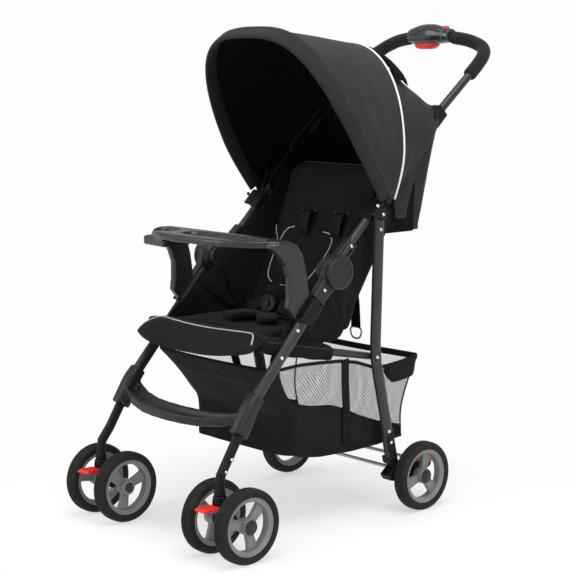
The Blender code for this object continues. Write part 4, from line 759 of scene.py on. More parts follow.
def backrestGrid(rows=61, columns=45):
    grid = []
    for v in spread(rows, 0.35):
        row = []
        for u in spread(columns, 0.5):
            u = 2 * u - 1
            corner = 0.030 * max(0.0, (v - 0.90) / 0.10) ** 2.4
            waist = 0.002 * math.sin(math.pi * v)
            x = u * (seat["backWidth"] / 2 - corner - waist)
            dish = -0.010 * (1 - u * u) * math.sin(math.pi * min(1.0, v * 1.05))
            row.append(backPoint(x, v * seat["backLength"], -seat["backDepth"] / 2 + dish))
        grid.append(row)
    return grid


def backGroove(v, u):
    # sewn lines: across below the head, and down both sides of the middle panel
    across = math.exp(-((v - 0.925) / 0.009) ** 2)
    side = sum(math.exp(-((u - place) / 0.011) ** 2) for place in (0.085, 0.915)) * (1 if v < 0.93 else 0)
    return 0.0045 * min(1.0, across + side)


def wingGrid(angles, reachOf, x, inset, spreadOf, rows=22):
    # cloth in a fan about the recline hinge, from near the hinge to its outer edge
    grid = []
    for i in range(rows):
        share = inset + (1 - inset) * i / (rows - 1)
        row = []
        for angle in angles:
            reach = reachOf(angle) * share
            ripple = 0.0016 * math.sin(angle * 0.21 + share * 3.0) * math.sin(math.pi * share)
            aside = spreadOf(angle) * share ** 2
            row.append(at(x + ripple + aside, recline.x + reach * math.cos(math.radians(angle)),
                          recline.y + reach * math.sin(math.radians(angle))))
        grid.append(row)
    return grid


def reachTo(point, along, angle):
    # distance from the recline hinge, in a direction, to a line
    ahead, way, gap = sideWay(angle), sideWay(along), point - recline
    cross = ahead.x * way.y - ahead.y * way.x
    return (gap.x * way.y - gap.y * way.x) / cross if abs(cross) > 1e-6 else 1.0


def backWingReach(angle):
    # rear edge, then the top, then the handle tube's line
    limits = [0.350 - 0.0001 * (angle - 70) ** 2]
    if angle > 72:
        limits.append(reachTo(Vector((-0.2375, 0.5390)), 44.4, angle) + 0.006)
    return softLeast(limits)


def seatWingReach(angle):
    # the handle tube, the hub, then the front leg down to the rail
    limits = [0.30]
    if angle < 128:
        limits.append(reachTo(Vector((-0.2385, 0.5370)), 44.4, angle) + 0.008)
    else:
        forward = 0.020 + 0.018 * min(1.0, max(0.0, (angle - 156) / 14))
        limits.append(reachTo(Vector((-0.2390, 0.5300)), 227.6, angle) + forward)
    limits.append(0.230)
    return softLeast(limits)


def softLeast(values):
    # about the least of the values, rounded where two of them meet
    values = [v for v in values if v > 0]
    least = min(values)
    return least - 0.008 * math.log(sum(math.exp((least - v) / 0.008) for v in values))


def makeWings():
    backWing = wingGrid([58 + 3.0 * i for i in range(30)], backWingReach, seat["wingX"]["backrest"], 0.06,
                        lambda angle: 0.0)
    seatWing = wingGrid([112 + 2.6 * i for i in range(30)], seatWingReach, seat["wingX"]["seat"], 0.05,
                        lambda angle: 0.018 * min(1.0, max(0.0, (angle - 148) / 26)))
    made = []
    for side, word in ((1, "left"), (-1, "right")):
        for kind, half, body in (("backrest", backWing, "backrest"), ("seat", seatWing, "seat_frame")):
            grid = forSide([[mirrored(p, side) for p in row] for row in half], side)
            made.append(pillow(f"{kind}_wing_{word}", grid, seat["wingDepth"], (0.07, 0.05), seatCloth, body))
    return made


def railZ(y):
    # height of the seat rail's middle line
    frontY, frontZ = seat["railFront"]
    return frontZ - (y - frontY) * seat["railFall"]


def railSleeve(side, word):
    # the seat cloth's tunnel round the rail, with its seam
    profile = [(0.160, 0.0150), (0.172, 0.0150), (0.1820, 0.0115), (0.1862, 0.0020), (0.1858, -0.0080),
               (0.1790, -0.0180), (0.168, -0.0215), (0.1610, -0.0180), (0.1590, -0.0040), (0.1590, 0.0090)]
    rings = []
    for i in range(19):
        t = i / 18
        y = -0.432 + 0.192 * t
        pinch = 0.88 + 0.12 * min(1.0, min(t, 1 - t) / 0.1)
        ripple = 0.0010 * math.sin(t * 23)
        rings.append([at(side * (0.174 + (x - 0.174) * pinch), y, railZ(y) + z * pinch + ripple) for x, z in profile])
    tunnel = loftRings(f"rail_sleeve_{word}", forSide(rings, side), seatCloth, "seat_frame", False, 70)
    seam = [at(side * 0.1862, y, railZ(y) + 0.0045) for y in [-0.424 + 0.176 * i / 20 for i in range(21)]]
    line = sweep(f"rail_sleeve_seam_{word}", seam, Vector((0, 0, 1)), ovalSection(0.0026, 0.0018, 8), seamThreadAndHighlight,
                 "seat_frame")
    return tunnel, line


def strapPiece(name, points, across, width, body, count):
    section = roundSection(width, seat["strapDepth"], 0.0006, 2)
    return sweep(name, smoothPath(points, count), across, section, strapWeb, body)


def padOn(name, points, across, width, depth, body):
    # a stuffed sleeve on a strap

    def swell(t):
        end = min(t, 1 - t)
        size = math.sin(min(1.0, end / 0.10) * math.pi / 2) ** 0.5 if end > 0 else 0.18
        return (max(0.30, size), max(0.25, size))

    section = roundSection(width, depth, depth * 0.42, 3)
    return sweep(name, smoothPath(points, 30), across, section, padCloth, body, swell, False, 70)


def makeHarness():
    # shoulder straps out of their slots, waist and crotch straps, all to one buckle
    made = []
    right = Vector((1, 0, 0))
    top = seat["slotUp"] - 0.001
    for side, word in ((1, "left"), (-1, "right")):
        x = seat["slotX"][word]
        # under the loose insert from just below its top edge
        start = [backPoint(x, top, -0.012), backPoint(x, top - 0.001, 0.004), backPoint(x, top - 0.020, 0.0075),
                 backPoint(x * 0.99, top - 0.046, 0.002), backPoint(x * 0.98, top - 0.066, -0.011),
                 backPoint(x * 0.90, top - 0.150, -0.012)]
        low = [at(x * 0.62, -0.208, 0.490), at(x * 0.45, -0.230, 0.474)]
        made.append(strapPiece(f"shoulder_strap_{word}", start + low, right, 0.030, "backrest", 40))
        hip = side * 0.118
        waist = [at(hip, -0.205, 0.432), at(hip * 0.96, -0.222, 0.440), at(hip * 0.62, -0.245, 0.440),
                 at(side * 0.030, -0.250, 0.452)]
        tilt = Vector((0, 0.35, 0.94))
        made.append(strapPiece(f"waist_strap_{word}", waist, tilt, seat["strapWidth"], "seat_frame", 26))
    crotch = [at(0, -0.262, 0.416), at(0, -0.266, 0.426), at(0, -0.262, 0.440)]
    made.append(strapPiece("crotch_strap", crotch, right, seat["strapWidth"], "seat_frame", 14))
    toLeft = [at(0.010, -0.262, 0.4290), at(0.040, -0.292, 0.4325), at(0.072, -0.322, 0.4315)]
    toRight = [at(-0.006, -0.262, 0.4290), at(-0.022, -0.305, 0.4340), at(-0.030, -0.350, 0.4320)]
    made.append(padOn("crotch_pad_left", toLeft, Vector((0.70, 0.72, 0)), 0.044, 0.014, "seat_frame"))
    made.append(padOn("crotch_pad_right", toRight, Vector((0.93, -0.33, 0)), 0.048, 0.015, "seat_frame"))
    return made


def makeSlots():
    # sewn slots for the shoulder straps, and the seam under the top edge
    made, up = [], seat["slotUp"]
    for word, x in seat["slotX"].items():
        rim = [backPoint(x + u, up + v, -0.0005) for u, v in roundSection(0.046, 0.0065, 0.003, 4)]
        rings = []
        for out, grow in ((-0.004, 1.0), (0.0012, 1.0), (0.0020, 0.90), (0.0014, 0.76), (-0.004, 0.74)):
            middle = backPoint(x, up, 0)
            rings.append([middle + (p - middle) * grow + Vector((0, backOut.x, backOut.y)) * out for p in rim])
        made.append(loftRings(f"harness_slot_{word}", rings, seamThreadAndHighlight, "backrest", False, 60))
    edge = [backPoint(-0.118 + 0.236 * i / 40, 0.3665, -0.0105) for i in range(41)]
    made.append(sweep("backrest_top_seam", edge, Vector((0, 0, 1)), ovalSection(0.0030, 0.0024, 8), canopyCloth,
                      "backrest"))
    return made


def insertPiping(back):
    # silver piping of the loose insert: two curves, waisted, open at the top
    lines = {
        "right": [(-0.0765, 0.2120), (-0.0965, 0.2048), (-0.1073, 0.1821), (-0.1140, 0.160), (-0.1152, 0.140),
                  (-0.1109, 0.0996), (-0.0959, 0.0821), (-0.0705, 0.0769), (-0.0446, 0.0770)],
        "left": [(0.0135, 0.2075), (0.0363, 0.2036), (0.0479, 0.1893), (0.0475, 0.1722), (0.0420, 0.1547),
                 (0.0340, 0.1369), (0.0260, 0.1191), (0.0129, 0.0950)],
        "far": [(-0.1399, 0.2118), (-0.1300, 0.1950), (-0.1194, 0.1807), (-0.1140, 0.168)],
    }
    outward, cover = Vector((0, backOut.x, backOut.y)), coverOf(back)
    section = ovalSection(seat["insertPipingWidth"], seat["insertPipingWidth"], 8)
    made = []
    for word, line in lines.items():
        path = smoothPath([backPoint(x, up) for x, up in line], 50)
        path = [laidOn(cover, point, outward, 0.0005) for point in path]
        made.append(sweep(f"insert_piping_{word}", path, Vector((0, 0, 1)), section, silverPiping, "backrest"))
    return made


def reclineStrap():
    # strap behind the backrest that sets its angle, with a D-ring
    x = 0.100
    path = [at(x, -0.118, 0.520), at(x, -0.098, 0.470), at(x, -0.0925, 0.430), at(x, -0.0905, 0.395)]
    strap = strapPiece("recline_strap", path, Vector((1, 0, 0)), 0.028, "backrest", 24)
    ring = []
    for i in range(32):
        t = 2 * math.pi * i / 32
        u, v = math.cos(t), math.sin(t)
        wide, high = 0.0165 * math.copysign(abs(u) ** 0.7, u), (0.0070 if v > 0 else 0.0180) * v
        ring.append(at(x + wide, -0.090, 0.3900 + high))
    wire = sweep("recline_ring", ring, Vector((0, 1, 0)), ovalSection(0.0040, 0.0040, 10), zinc, "backrest", None, True)
    return [strap, wire]


def inflate(piece, cap, frames=20, pressure=4.0):
    # blows a stuffed cover up against its own cloth, then keeps each point within the cap
    scene = bpy.context.scene
    before = [v.co.copy() for v in piece.data.vertices]
    cloth = piece.modifiers.new("Cloth", "CLOTH")
    cloth.settings.quality = 5
    cloth.settings.mass = 0.25
    cloth.settings.use_pressure = True
    cloth.settings.uniform_pressure_force = pressure
    cloth.settings.tension_stiffness = 25
    cloth.settings.bending_stiffness = 1.5
    cloth.settings.effector_weights.gravity = 0.0
    cloth.point_cache.frame_start, cloth.point_cache.frame_end = 1, frames
    for number in range(1, frames + 1):
        scene.frame_set(number)
    shape = piece.evaluated_get(bpy.context.evaluated_depsgraph_get()).data
    after = [v.co.copy() for v in shape.vertices]
    piece.modifiers.remove(cloth)
    scene.frame_set(1)
    for vertex, a, b in zip(piece.data.vertices, before, after):
        move = b - a
        vertex.co = a + (move if move.length < cap else move.normalized() * cap)


buckle = {
    "centre": at(0.0, -0.2517, 0.4520),
    "facing": Vector((0, -0.97, 0.24)).normalized(),
    "outline": [(0.026, -0.004), (0.026, 0.006), (0.013, 0.0205), (-0.013, 0.0205), (-0.026, 0.006), (-0.026, -0.004),
                (-0.012, -0.0215), (0.012, -0.0215)],  # across and up
    "layers": [(-0.0065, 0.86), (-0.0055, 0.96), (-0.0030, 1.0), (0.0030, 1.0), (0.0058, 0.95), (0.0068, 0.86),
               (0.0068, 0.52), (0.0056, 0.47)],  # out, and share of the outline
}


def makeBuckle():
    # eight-sided moulded buckle with eased corners, a ring sunk round its button
    across, normal, outline = Vector((1, 0, 0)), buckle["facing"], buckle["outline"]
    up = normal.cross(across)
    dense = []
    for (a, b), (c, d) in zip(outline, outline[1:] + outline[:1]):
        dense += [(a + (c - a) * i / 6, b + (d - b) * i / 6) for i in range(6)]
    count = len(dense)  # corners eased by a mean over five points
    eased = [tuple(sum(dense[(i + k) % count][n] for k in (-2, -1, 0, 1, 2)) / 5 for n in (0, 1)) for i in range(count)]
    rings = [[buckle["centre"] + across * a * grow + up * b * grow + normal * out for a, b in eased]
             for out, grow in buckle["layers"]]
    shell = loftRings("buckle_shell", rings, blackNylon, "seat_frame", False, 30)
    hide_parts("buckle")


makeBuckle()
cushion = seatCushion()
inflate(cushion, 0.006)
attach(cushion, "seat_frame")
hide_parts("seat_pad")

flapPoints = flapGrid()
flap = pillow("leg_rest_flap", flapPoints, seat["flapDepth"], (0.16, 0.06), seatCloth, None)
inflate(flap, 0.004)
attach(flap, "seat_frame")
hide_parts("leg_rest")
flapPiping(flap, flapPoints)

back = pillow("backrest_cushion", backrestGrid(), seat["backDepth"], (0.06, 0.06), seatCloth, None, 0.8, backGroove)
inflate(back, 0.006)
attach(back, "backrest")
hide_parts("backrest")
for piece in makeWings():
    if piece.name.startswith("seat"):
        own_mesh(piece)
for side, word in ((1, "left"), (-1, "right")):
    tunnel, seamLine = railSleeve(side, word)
for piece in makeHarness():
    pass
for piece in makeSlots() + insertPiping(back) + reclineStrap():
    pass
soft = ("backrest_", "shoulder_", "harness_", "insert_", "recline_")
for piece in list(bpy.context.scene.objects):  # each soft piece of the backrest gets a mesh of its own
    if piece.name.startswith(soft) and piece.name not in nodes:
        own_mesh(piece)
print("seat made")


curtain = {
    "topZ": 0.862,
    "bottomZ": 0.598,
    "halfWidth": (0.1720, 0.1510),  # top, bottom
    "rearY": (0.114, 0.062),
    "frontY": (-0.030, -0.004),
    "corner": 0.034,
    "cloth": 0.0016,
    "hem": (0.009, 0.0036),
}


def curtainPlan(rearY, halfWidth, corner, startY, count):
    # from the left tube round the back to the right, evenly stepped
    left = [Vector((halfWidth, y)) for y in (startY, (startY + rearY - corner) / 2, rearY - corner)]
    for i in range(1, 9):
        left.append(Vector((halfWidth - corner, rearY - corner)) + sideWay(90 * i / 8) * corner)
    line = left + [Vector((-p.x, p.y)) for p in reversed(left)]
    return resample(line, count)


def curtainGrid(rows=34, columns=81):
    grid = []
    for i in range(rows):
        share = i / (rows - 1)
        half, rear, start = (curtain[key][0] + (curtain[key][1] - curtain[key][0]) * share
                             for key in ("halfWidth", "rearY", "frontY"))
        row = []
        for k, point in enumerate(curtainPlan(rear, half, curtain["corner"], start, columns)):
            u = k / (columns - 1)
            edge = abs(2 * u - 1)
            side = min(1.0, max(0.0, (edge - 0.50) / 0.5))  # 0 across the back, 1 at the front edge of a side
            top = min(curtain["topZ"], curtain["topZ"] - 0.004 + (point.y - 0.060) * 0.98)
            top -= 0.010 * (1 - edge ** 2)
            low = curtain["bottomZ"] + 0.012 * side + 0.006 * math.cos(u * 2 * math.pi)
            z = top + (low - top) * share
            fold = 0.0040 * share * math.sin(u * 46 + 0.8 * math.sin(u * 9)) * (1 - 0.7 * side)
            fold += 0.0020 * math.sin(u * 21 + share * 3)
            point = point + Vector((point.x, point.y - 0.01)).normalized() * fold
            row.append(at(point.x, point.y, z))
        grid.append(row)
    return grid


curtainPoints = curtainGrid()
hanging = thickSheet("rear_curtain_cloth", curtainPoints, curtain["cloth"], canopyCloth, "handle_frame", liningCloth)
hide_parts("rear_curtain")
edges = [(f"curtain_{word}_hem", curtainPoints[row], Vector((0, 0, 1))) for word, row in (("top", 0), ("bottom", -1))]
edges += [(f"curtain_front_hem_{word}", [row[column] for row in curtainPoints], Vector((0, 1, 0)))
          for word, column in (("left", 0), ("right", -1))]
for name, line, across in edges:
    sweep(name, line, across, ovalSection(*curtain["hem"], 8), canopyCloth, "handle_frame")

# dark inner sides between the handle tube and the curtain: near-black lining sheets put there as painted shade, for the
# shadow under the rear of the canopy
for side, word in ((1, "left"), (-1, "right")):
    inner = []
    for i in range(16):
        t = i / 15
        row = []
        for k in range(12):
            y = -0.105 + 0.012 * k + 0.02 * t * (1 - k / 11)
            top = min(0.800, 0.640 + (y + 0.140) * 0.98 + 0.02)  # follows the handle tube
            row.append(at(side * (0.1640 - 0.010 * t), y, top * (1 - t) + 0.600 * t))
        inner.append(row)
    inner = forSide(inner, side)
    piece = thickSheet(f"curtain_inner_side_{word}", inner, 0.0012, liningCloth, "handle_frame")

# tabs that hold the curtain's side to the top joints
for side, word in ((1, "left"), (-1, "right")):
    tab = []
    for i in range(9):
        t = i / 8
        x, z, width = 0.1720 + 0.0015 * math.sin(3 * t), 0.702 - 0.070 * t, 0.050 - 0.018 * t
        tab.append([at(side * x, -0.060 + width * (k / 6) + 0.014 * t, z) for k in range(7)])
    piece = pillow(f"curtain_tab_{word}", forSide(tab, side), 0.004, (0.12, 0.12), canopyCloth, "handle_frame")
for piece in list(bpy.context.scene.objects):  # each piece of the curtain gets a mesh of its own
    if piece.name.startswith(("rear_curtain_", "curtain_")):
        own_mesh(piece)
print("curtain made")


basket = {
    "topX": (0.1820, 0.1820),  # front, rear
    "bottomX": (0.1490, 0.1600),
    "frontSeam": [(-0.397, 0.353), (-0.340, 0.277), (-0.309, 0.236), (-0.306, 0.161)],
    "rearSeam": [(0.014, 0.331), (-0.008, 0.280), (-0.021, 0.220), (-0.014, 0.160)],
    "rim": [(-0.397, 0.353), (-0.330, 0.356), (-0.280, 0.354), (-0.218, 0.350), (-0.170, 0.341), (-0.119, 0.324),
            (-0.080, 0.321), (-0.030, 0.326), (0.014, 0.333)],
    "floor": [(-0.306, 0.160), (-0.250, 0.152), (-0.160, 0.149), (-0.080, 0.152), (-0.014, 0.159)],
    "netLow": [(-0.333, 0.272), (-0.283, 0.259), (-0.227, 0.254), (-0.183, 0.239), (-0.147, 0.221), (-0.087, 0.199),
               (-0.008, 0.178)],
    "cloth": 0.0018,
    "frontBow": (0.006, 0.025),  # top, bottom
    "frontCorner": 0.030,
    "webbing": 0.021,
    "netCloth": 0.0006,
    "studsAlongFront": (10, 31, 53),  # of 61 columns
}


def heightOn(points, y):
    # height of a line of (y, z) points at y
    for (a, za), (b, zb) in zip(points, points[1:]):
        if y <= b:
            return za + (zb - za) * max(0.0, (y - a) / (b - a))
    return points[-1][1]


def sideWidth(z, y):
    # how far out the side stands at a height; the net sags outwards a little
    t = min(max((z - 0.155) / 0.19, 0.0), 1.0)
    back = min(1.0, max(0.0, (y + 0.37) / 0.36))
    belly = 0.0045 * math.sin(math.pi * t) * math.sin(math.pi * back)
    low, high = ((1 - back) * a + back * b for a, b in (basket["bottomX"], basket["topX"]))
    return low + (high - low) * t ** (4.0 - 3.1 * back) + belly


def sideGrid(lowOf, highOf, rows, columns, side):
    # cloth of one side between two heights, from the front seam to the rear one
    grid = []
    front = smoothPath([Vector((0.0, *p)) for p in basket["frontSeam"]], 60)
    rear = smoothPath([Vector((0.0, *p)) for p in basket["rearSeam"]], 60)
    for i in range(rows):
        row = []
        for k in range(columns):
            t = k / (columns - 1)
            z = 0.26  # settles on the point's own height in a few rounds
            for _ in range(6):
                near = min(front, key=lambda p: abs(p.z - z))
                far = min(rear, key=lambda p: abs(p.z - z))
                y = near.y + (far.y - near.y) * t
                z = highOf(y) + (lowOf(y) - highOf(y)) * i / (rows - 1)
            row.append(at(side * sideWidth(z, y), y, z))
        grid.append(row)
    return forSide(grid, side)


def frontGrid(rows=26, columns=61):
    # front panel: from seam to seam round the front, drawn in halfway down
    seam = smoothPath([Vector((0.0, *p)) for p in basket["frontSeam"]], rows)
    corner = basket["frontCorner"]
    grid = []
    for i, place in enumerate(seam):
        t = i / (rows - 1)
        half = sideWidth(place.z, place.y)
        bow = basket["frontBow"][0] * (1 - t) + basket["frontBow"][1] * t
        line = [Vector((half, place.y)), Vector((half, place.y - 0.004))]
        for k in range(1, 7):
            turn = math.radians(90 * k / 6)
            line.append(Vector((half - corner + corner * math.cos(turn), place.y - 0.004 - bow * math.sin(turn))))
        line += [Vector((0.05, place.y - 0.004 - bow + 0.004 * math.sin(math.pi * t)))]
        line += [Vector((-p.x, p.y)) for p in reversed(line)]
        row = []
        for k, p in enumerate(resample(line, columns)):
            u = 2 * k / (columns - 1) - 1
            dip = 0.004 * (1 - u * u) * (1 - t)
            fold = 0.0018 * math.sin(u * 7 + t * 5) * math.sin(math.pi * t)
            row.append(at(p.x, p.y + fold, place.z - dip))
        grid.append(row)
    return grid


def rearGrid(rows=20, columns=41):
    seam = smoothPath([Vector((0.0, *p)) for p in basket["rearSeam"]], rows)
    grid = []
    for i, place in enumerate(seam):
        t = i / (rows - 1)
        half = sideWidth(place.z, place.y)
        row = []
        for k in range(columns):
            u = 1 - 2 * k / (columns - 1)
            bulge = 0.006 * (1 - u ** 4)
            row.append(at(half * -u, place.y + bulge, place.z - 0.003 * (1 - u * u) * (1 - t)))
        grid.append(row)
    return grid


def floorGrid(rows=26, columns=33):
    line = smoothPath([Vector((0.0, *p)) for p in basket["floor"]], rows)
    grid = []
    for i, place in enumerate(line):
        row = []
        for k in range(columns):
            u = 2 * k / (columns - 1) - 1
            sag = 0.006 * (1 - u * u) * math.sin(math.pi * i / (rows - 1))
            bow = basket["frontBow"][1] * (1 - u ** 6) * (1 - i / (rows - 1)) ** 6
            row.append(at(sideWidth(place.z, place.y) * u, place.y - bow, place.z - sag))
        grid.append(row)
    return grid


def snap(name, place, out, body):
    # press stud: a rolled rim round a sunk middle
    out = out.normalized()
    profile = [(0.0, 0.0008), (0.0022, 0.0008), (0.0030, 0.0016), (0.0042, 0.0019), (0.0052, 0.0012), (0.0054, -0.0010)]
    return turned(name, place, out, profile, blackNylon, body, 24)


def turned(name, place, axis, profile, look, body, count=48, crease=35):
    # lathe work: (radius, along) points turned about an axis
    axis = axis.normalized()
    side = axis.orthogonal().normalized()
    other = axis.cross(side)
    points, faces, starts = [], [], []
    for radius, along in profile:
        starts.append(len(points))
        if radius < 1e-7:
            points.append(place + axis * along)
        else:
            for i in range(count):
                turn = 2 * math.pi * i / count
                points.append(place + axis * along + (side * math.cos(turn) + other * math.sin(turn)) * radius)
    for (a, (ra, _)), (b, (rb, _)) in zip(zip(starts, profile), list(zip(starts, profile))[1:]):
        for i in range(count):
            j = (i + 1) % count
            if ra < 1e-7:
                faces.append((a, b + i, b + j))
            elif rb < 1e-7:
                faces.append((a + i, b, a + j))
            else:
                faces.append((a + i, b + i, b + j, a + j))
    first, last = profile[0], profile[-1]
    if first != last:
        if first[0] > 1e-7:
            faces.append(tuple(starts[0] + i for i in range(count)))
        if last[0] > 1e-7:
            faces.append(tuple(starts[-1] + i for i in reversed(range(count))))
    return newPiece(name, points, faces, look, body, None, crease)


def makeBasket():
    pieces, sheets = [], []
    upright, forward = Vector((0, 0, 1)), Vector((0, 1, 0))

    def addSheet(name, grid, look, flip, rests):
        thickness = basket["netCloth"] if "net" in name else basket["cloth"]
        piece = thickSheet(name, grid, thickness, look, "chassis", None, flip)
        sheets.append((piece, grid, rests))
        return piece

    def addEdge(name, line, across, section, look=basketCloth):
        pieces.append(sweep(name, line, across, section, look, "chassis"))

    def rim(y):
        return heightOn(basket["rim"], y)

    def low(y):
        return heightOn(basket["netLow"], y)

    def base(y):
        return heightOn(basket["floor"], y)

    front = addSheet("basket_front_panel", frontGrid(), basketCloth, False, ["front_leg_left", "front_leg_right"])
    addSheet("basket_floor", floorGrid(), basketCloth, True, ["basket_front_panel"])
    addSheet("basket_rear_net", rearGrid(), rearNet, True, ["rear_leg_left", "rear_leg_right"])
    # tapes along a side: name, height, start, step, how far out and down they lie, width, thickness, steps round
    tapes = [("rim", rim, -0.397, 0.00685, 0.0008, 0.0, 0.0075, 0.0052, 10),
             ("net_edge", low, -0.334, 0.0052, 0.0006, 0.0, 0.0050, 0.0030, 8),
             ("base_binding", base, -0.306, 0.0049, 0.0008, 0.001, 0.0080, 0.0048, 8)]
    for side, word in ((1, "left"), (-1, "right")):
        flip = side < 0
        addSheet(f"basket_side_net_{word}", sideGrid(low, rim, 16, 61, side), sideNet, flip, ["front_leg_" + word])
        addSheet(f"basket_side_panel_{word}", sideGrid(base, low, 12, 61, side), basketCloth, flip, ["basket_floor"])
        for name, height, first, step, out, down, wide, thick, count in tapes:
            line = [at(side * (sideWidth(height(y), y) + out), y, height(y) - down)
                    for y in [first + step * i for i in range(61)]]
            addEdge(f"basket_{name}_{word}", line, upright, ovalSection(wide, thick, count))
        for name, wide in (("front", 0.0080), ("rear", 0.0034)):
            seam = smoothPath([Vector((0.0, *p)) for p in basket[name + "Seam"]], 40)
            line = [at(side * (sideWidth(p.z, p.y) + 0.0012), p.y, p.z) for p in seam]
            addEdge(f"basket_{name}_binding_{word}", line, forward, ovalSection(wide, 0.0034, 8))
        # webbing that carries the load up to the seat rail
        line = []
        for i in range(41):
            z = 0.352 - 0.0047 * i
            y = -0.176 - 0.031 * ((z - 0.16) / 0.19) ** 1.6 if z > 0.16 else -0.176
            line.append(at(side * (sideWidth(z, y) + 0.0034), y, z))
        addEdge(f"basket_webbing_{word}", line, forward, roundSection(basket["webbing"], 0.0018, 0.0006, 2), strapWeb)
        # cuff round the rear corner, pressed shut with a stud
        cuff = []
        for i in range(15):
            t = i / 14
            row = []
            for k in range(25):
                s = k / 24
                y = -0.088 + 0.108 * s
                drop = 0.014 + 0.030 * math.sin(min(1.0, s * 2.6) * math.pi / 2)
                z = rim(min(y, 0.014)) + 0.0015 - drop * t
                out = 0.0040 - 0.010 * max(0.0, s - 0.86) / 0.14  # turns in round the corner
                row.append(at(side * (sideWidth(z, y) + out), y - 0.004 * t * s, z))
            cuff.append(row)
        pieces.append(pillow(f"basket_cuff_{word}", forSide(cuff, side), 0.0034, (0.10, 0.06), basketCloth, "chassis"))
        outward = Vector((side, 0, 0))
        pieces.append(snap(f"basket_cuff_stud_{word}", at(side * 0.1862, -0.073, 0.3100), outward, "chassis"))
    finePanel = frontGrid(60, 61)
    for number, column in enumerate(basket["studsAlongFront"]):
        place = finePanel[8][column] + Vector((0, -0.0012, 0))
        pieces.append(snap(f"basket_front_stud_{number}", place, Vector((0, -1, 0.30)), "chassis"))
    seam = [p + Vector((0, -0.0012, 0)) for p in finePanel[14]]
    rear = rearGrid()
    addEdge("basket_front_hem", frontGrid(3, 61)[0], upright, ovalSection(0.0085, 0.0050, 10))
    addEdge("basket_front_seam", seam, upright, ovalSection(0.0030, 0.0022, 8), seamThreadAndHighlight)
    addEdge("basket_rear_rim", rear[0], upright, ovalSection(0.014, 0.0060, 10))
    addEdge("basket_rear_base", rear[-1], upright, ovalSection(0.0080, 0.0048, 8))
    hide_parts("basket")
    return pieces + [piece for piece, _, _ in sheets]


for piece in makeBasket():  # each piece of the basket gets a mesh of its own
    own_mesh(piece)
print("basket made")


wheel = {
    "radius": 0.075,
    "rimOuter": 0.0590,
    "rimInner": 0.0488,
    "tyreHalf": 0.0150,
    "rimHalf": 0.0122,
    "hubRadius": 0.0160,
    "capRadius": 0.0150,
    "spokes": 3,
    "spokeNear": 0.0175,
    "spokeFar": 0.0270,
    "spokeDepth": 0.0100,
    "places": [("front", "_inner", 0.1455, -0.52762, 20), ("front", "_outer", 0.2445, -0.52762, 45),
               ("rear", "", 0.2135, 0.0, 75)],  # how far out, side-view y, turn of the spokes
}


def bothFaces(half):
    # a profile of one face of a wheel, carried round the other face
    return half + [(radius, -x) for radius, x in reversed(half)]


def wheelTyre(name, centre, body, node):
    r, h, bead = wheel["radius"], wheel["tyreHalf"], wheel["rimOuter"]
    profile = bothFaces([
        (bead - 0.0010, h - 0.0034), (bead + 0.0004, h - 0.0016), (bead + 0.0022, h - 0.0006),
        (bead + 0.0040, h - 0.0010), (bead + 0.0048, h - 0.0006), (r - 0.0070, h), (r - 0.0044, h - 0.0008),
        (r - 0.0022, h - 0.0026), (r - 0.0008, h - 0.0056), (r - 0.0003, h - 0.0074), (r - 0.0016, h - 0.0080),
        (r - 0.0016, h - 0.0090), (r - 0.0002, h - 0.0096), (r, 0.0020), (r - 0.0014, 0.0012)])
    piece = turned(name, centre, Vector((1, 0, 0)), profile + profile[:1], tyreRubber, body, 96, 40)
    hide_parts(node)


def wheelRim(name, centre, outward, phase, body, node):
    # ring, three ribbed spokes and hub of one moulding
    ro, ri, h = wheel["rimOuter"], wheel["rimInner"], wheel["rimHalf"]
    ring = bothFaces([
        (ro - 0.0004, h - 0.0030), (ro, h - 0.0012), (ro - 0.0008, h), (ro - 0.0030, h), (ro - 0.0040, h - 0.0010),
        (ro - 0.0052, h - 0.0016), (ri + 0.0024, h - 0.0030), (ri + 0.0006, h - 0.0036), (ri, h - 0.0050)])
    axis, hub = Vector((1, 0, 0)), wheel["hubRadius"]
    hubFaces = bothFaces([(hub - 0.0040, 0.0128), (hub - 0.0012, 0.0128), (hub, 0.0116), (hub + 0.0010, 0.0060)])
    parts = [turned(name + "_ring", centre, axis, ring + ring[:1], rimPlastic, None, 96, 30),
             turned(name + "_hub", centre, axis, hubFaces, rimPlastic, None, 48, 30)]
    for spoke in range(wheel["spokes"]):
        angle = math.radians(phase + 360 / wheel["spokes"] * spoke)
        along = Vector((0, math.cos(angle), math.sin(angle)))
        across = Vector((0, -math.sin(angle), math.cos(angle)))
        near, far = wheel["spokeNear"], wheel["spokeFar"]
        rings = []
        for i in range(11):
            t = i / 10
            reach = 0.0135 + (ri + 0.0022 - 0.0135) * t
            d = wheel["spokeDepth"] / 2 * (1.05 - 0.15 * t)
            w = (near + (far - near) * t ** 1.6 + 0.0060 * max(0.0, t - 0.8) / 0.2) / 2  # widens into the ring
            face = [(w, d - 0.0012), (w - 0.0010, d), (w - 0.0026, d), (w - 0.0038, d - 0.0016), (0.0, d - 0.0018)]
            face += [(-u, v) for u, v in reversed(face[:-1])]
            section = face + [(-u, -v) for u, v in face]
            rings.append([centre + along * reach + across * u + axis * v for u, v in section])
        parts.append(loftRings(f"{name}_spoke_{spoke}", rings, rimPlastic, None, False, 28))
    piece = joined(parts, name)
    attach(piece, body)
    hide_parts(node)
    c = wheel["capRadius"]
    for side, word in ((outward, "outer"), (-outward, "inner")):
        if word == "outer":
            profile = [(c, -0.0030), (c, 0.0016), (c - 0.0009, 0.0026), (c - 0.0030, 0.0032), (c - 0.0036, 0.0026),
                       (c - 0.0050, 0.0030), (0.0060, 0.0044), (0.0, 0.0048)]
        else:
            profile = [(0.0105, -0.0030), (0.0105, 0.0012), (0.0095, 0.0020), (0.0, 0.0020)]
        place = centre + axis * side * 0.0122
        cap = turned(f"{name}_cap_{word}", place, axis * side, profile, capPlastic, body, 48, 30)


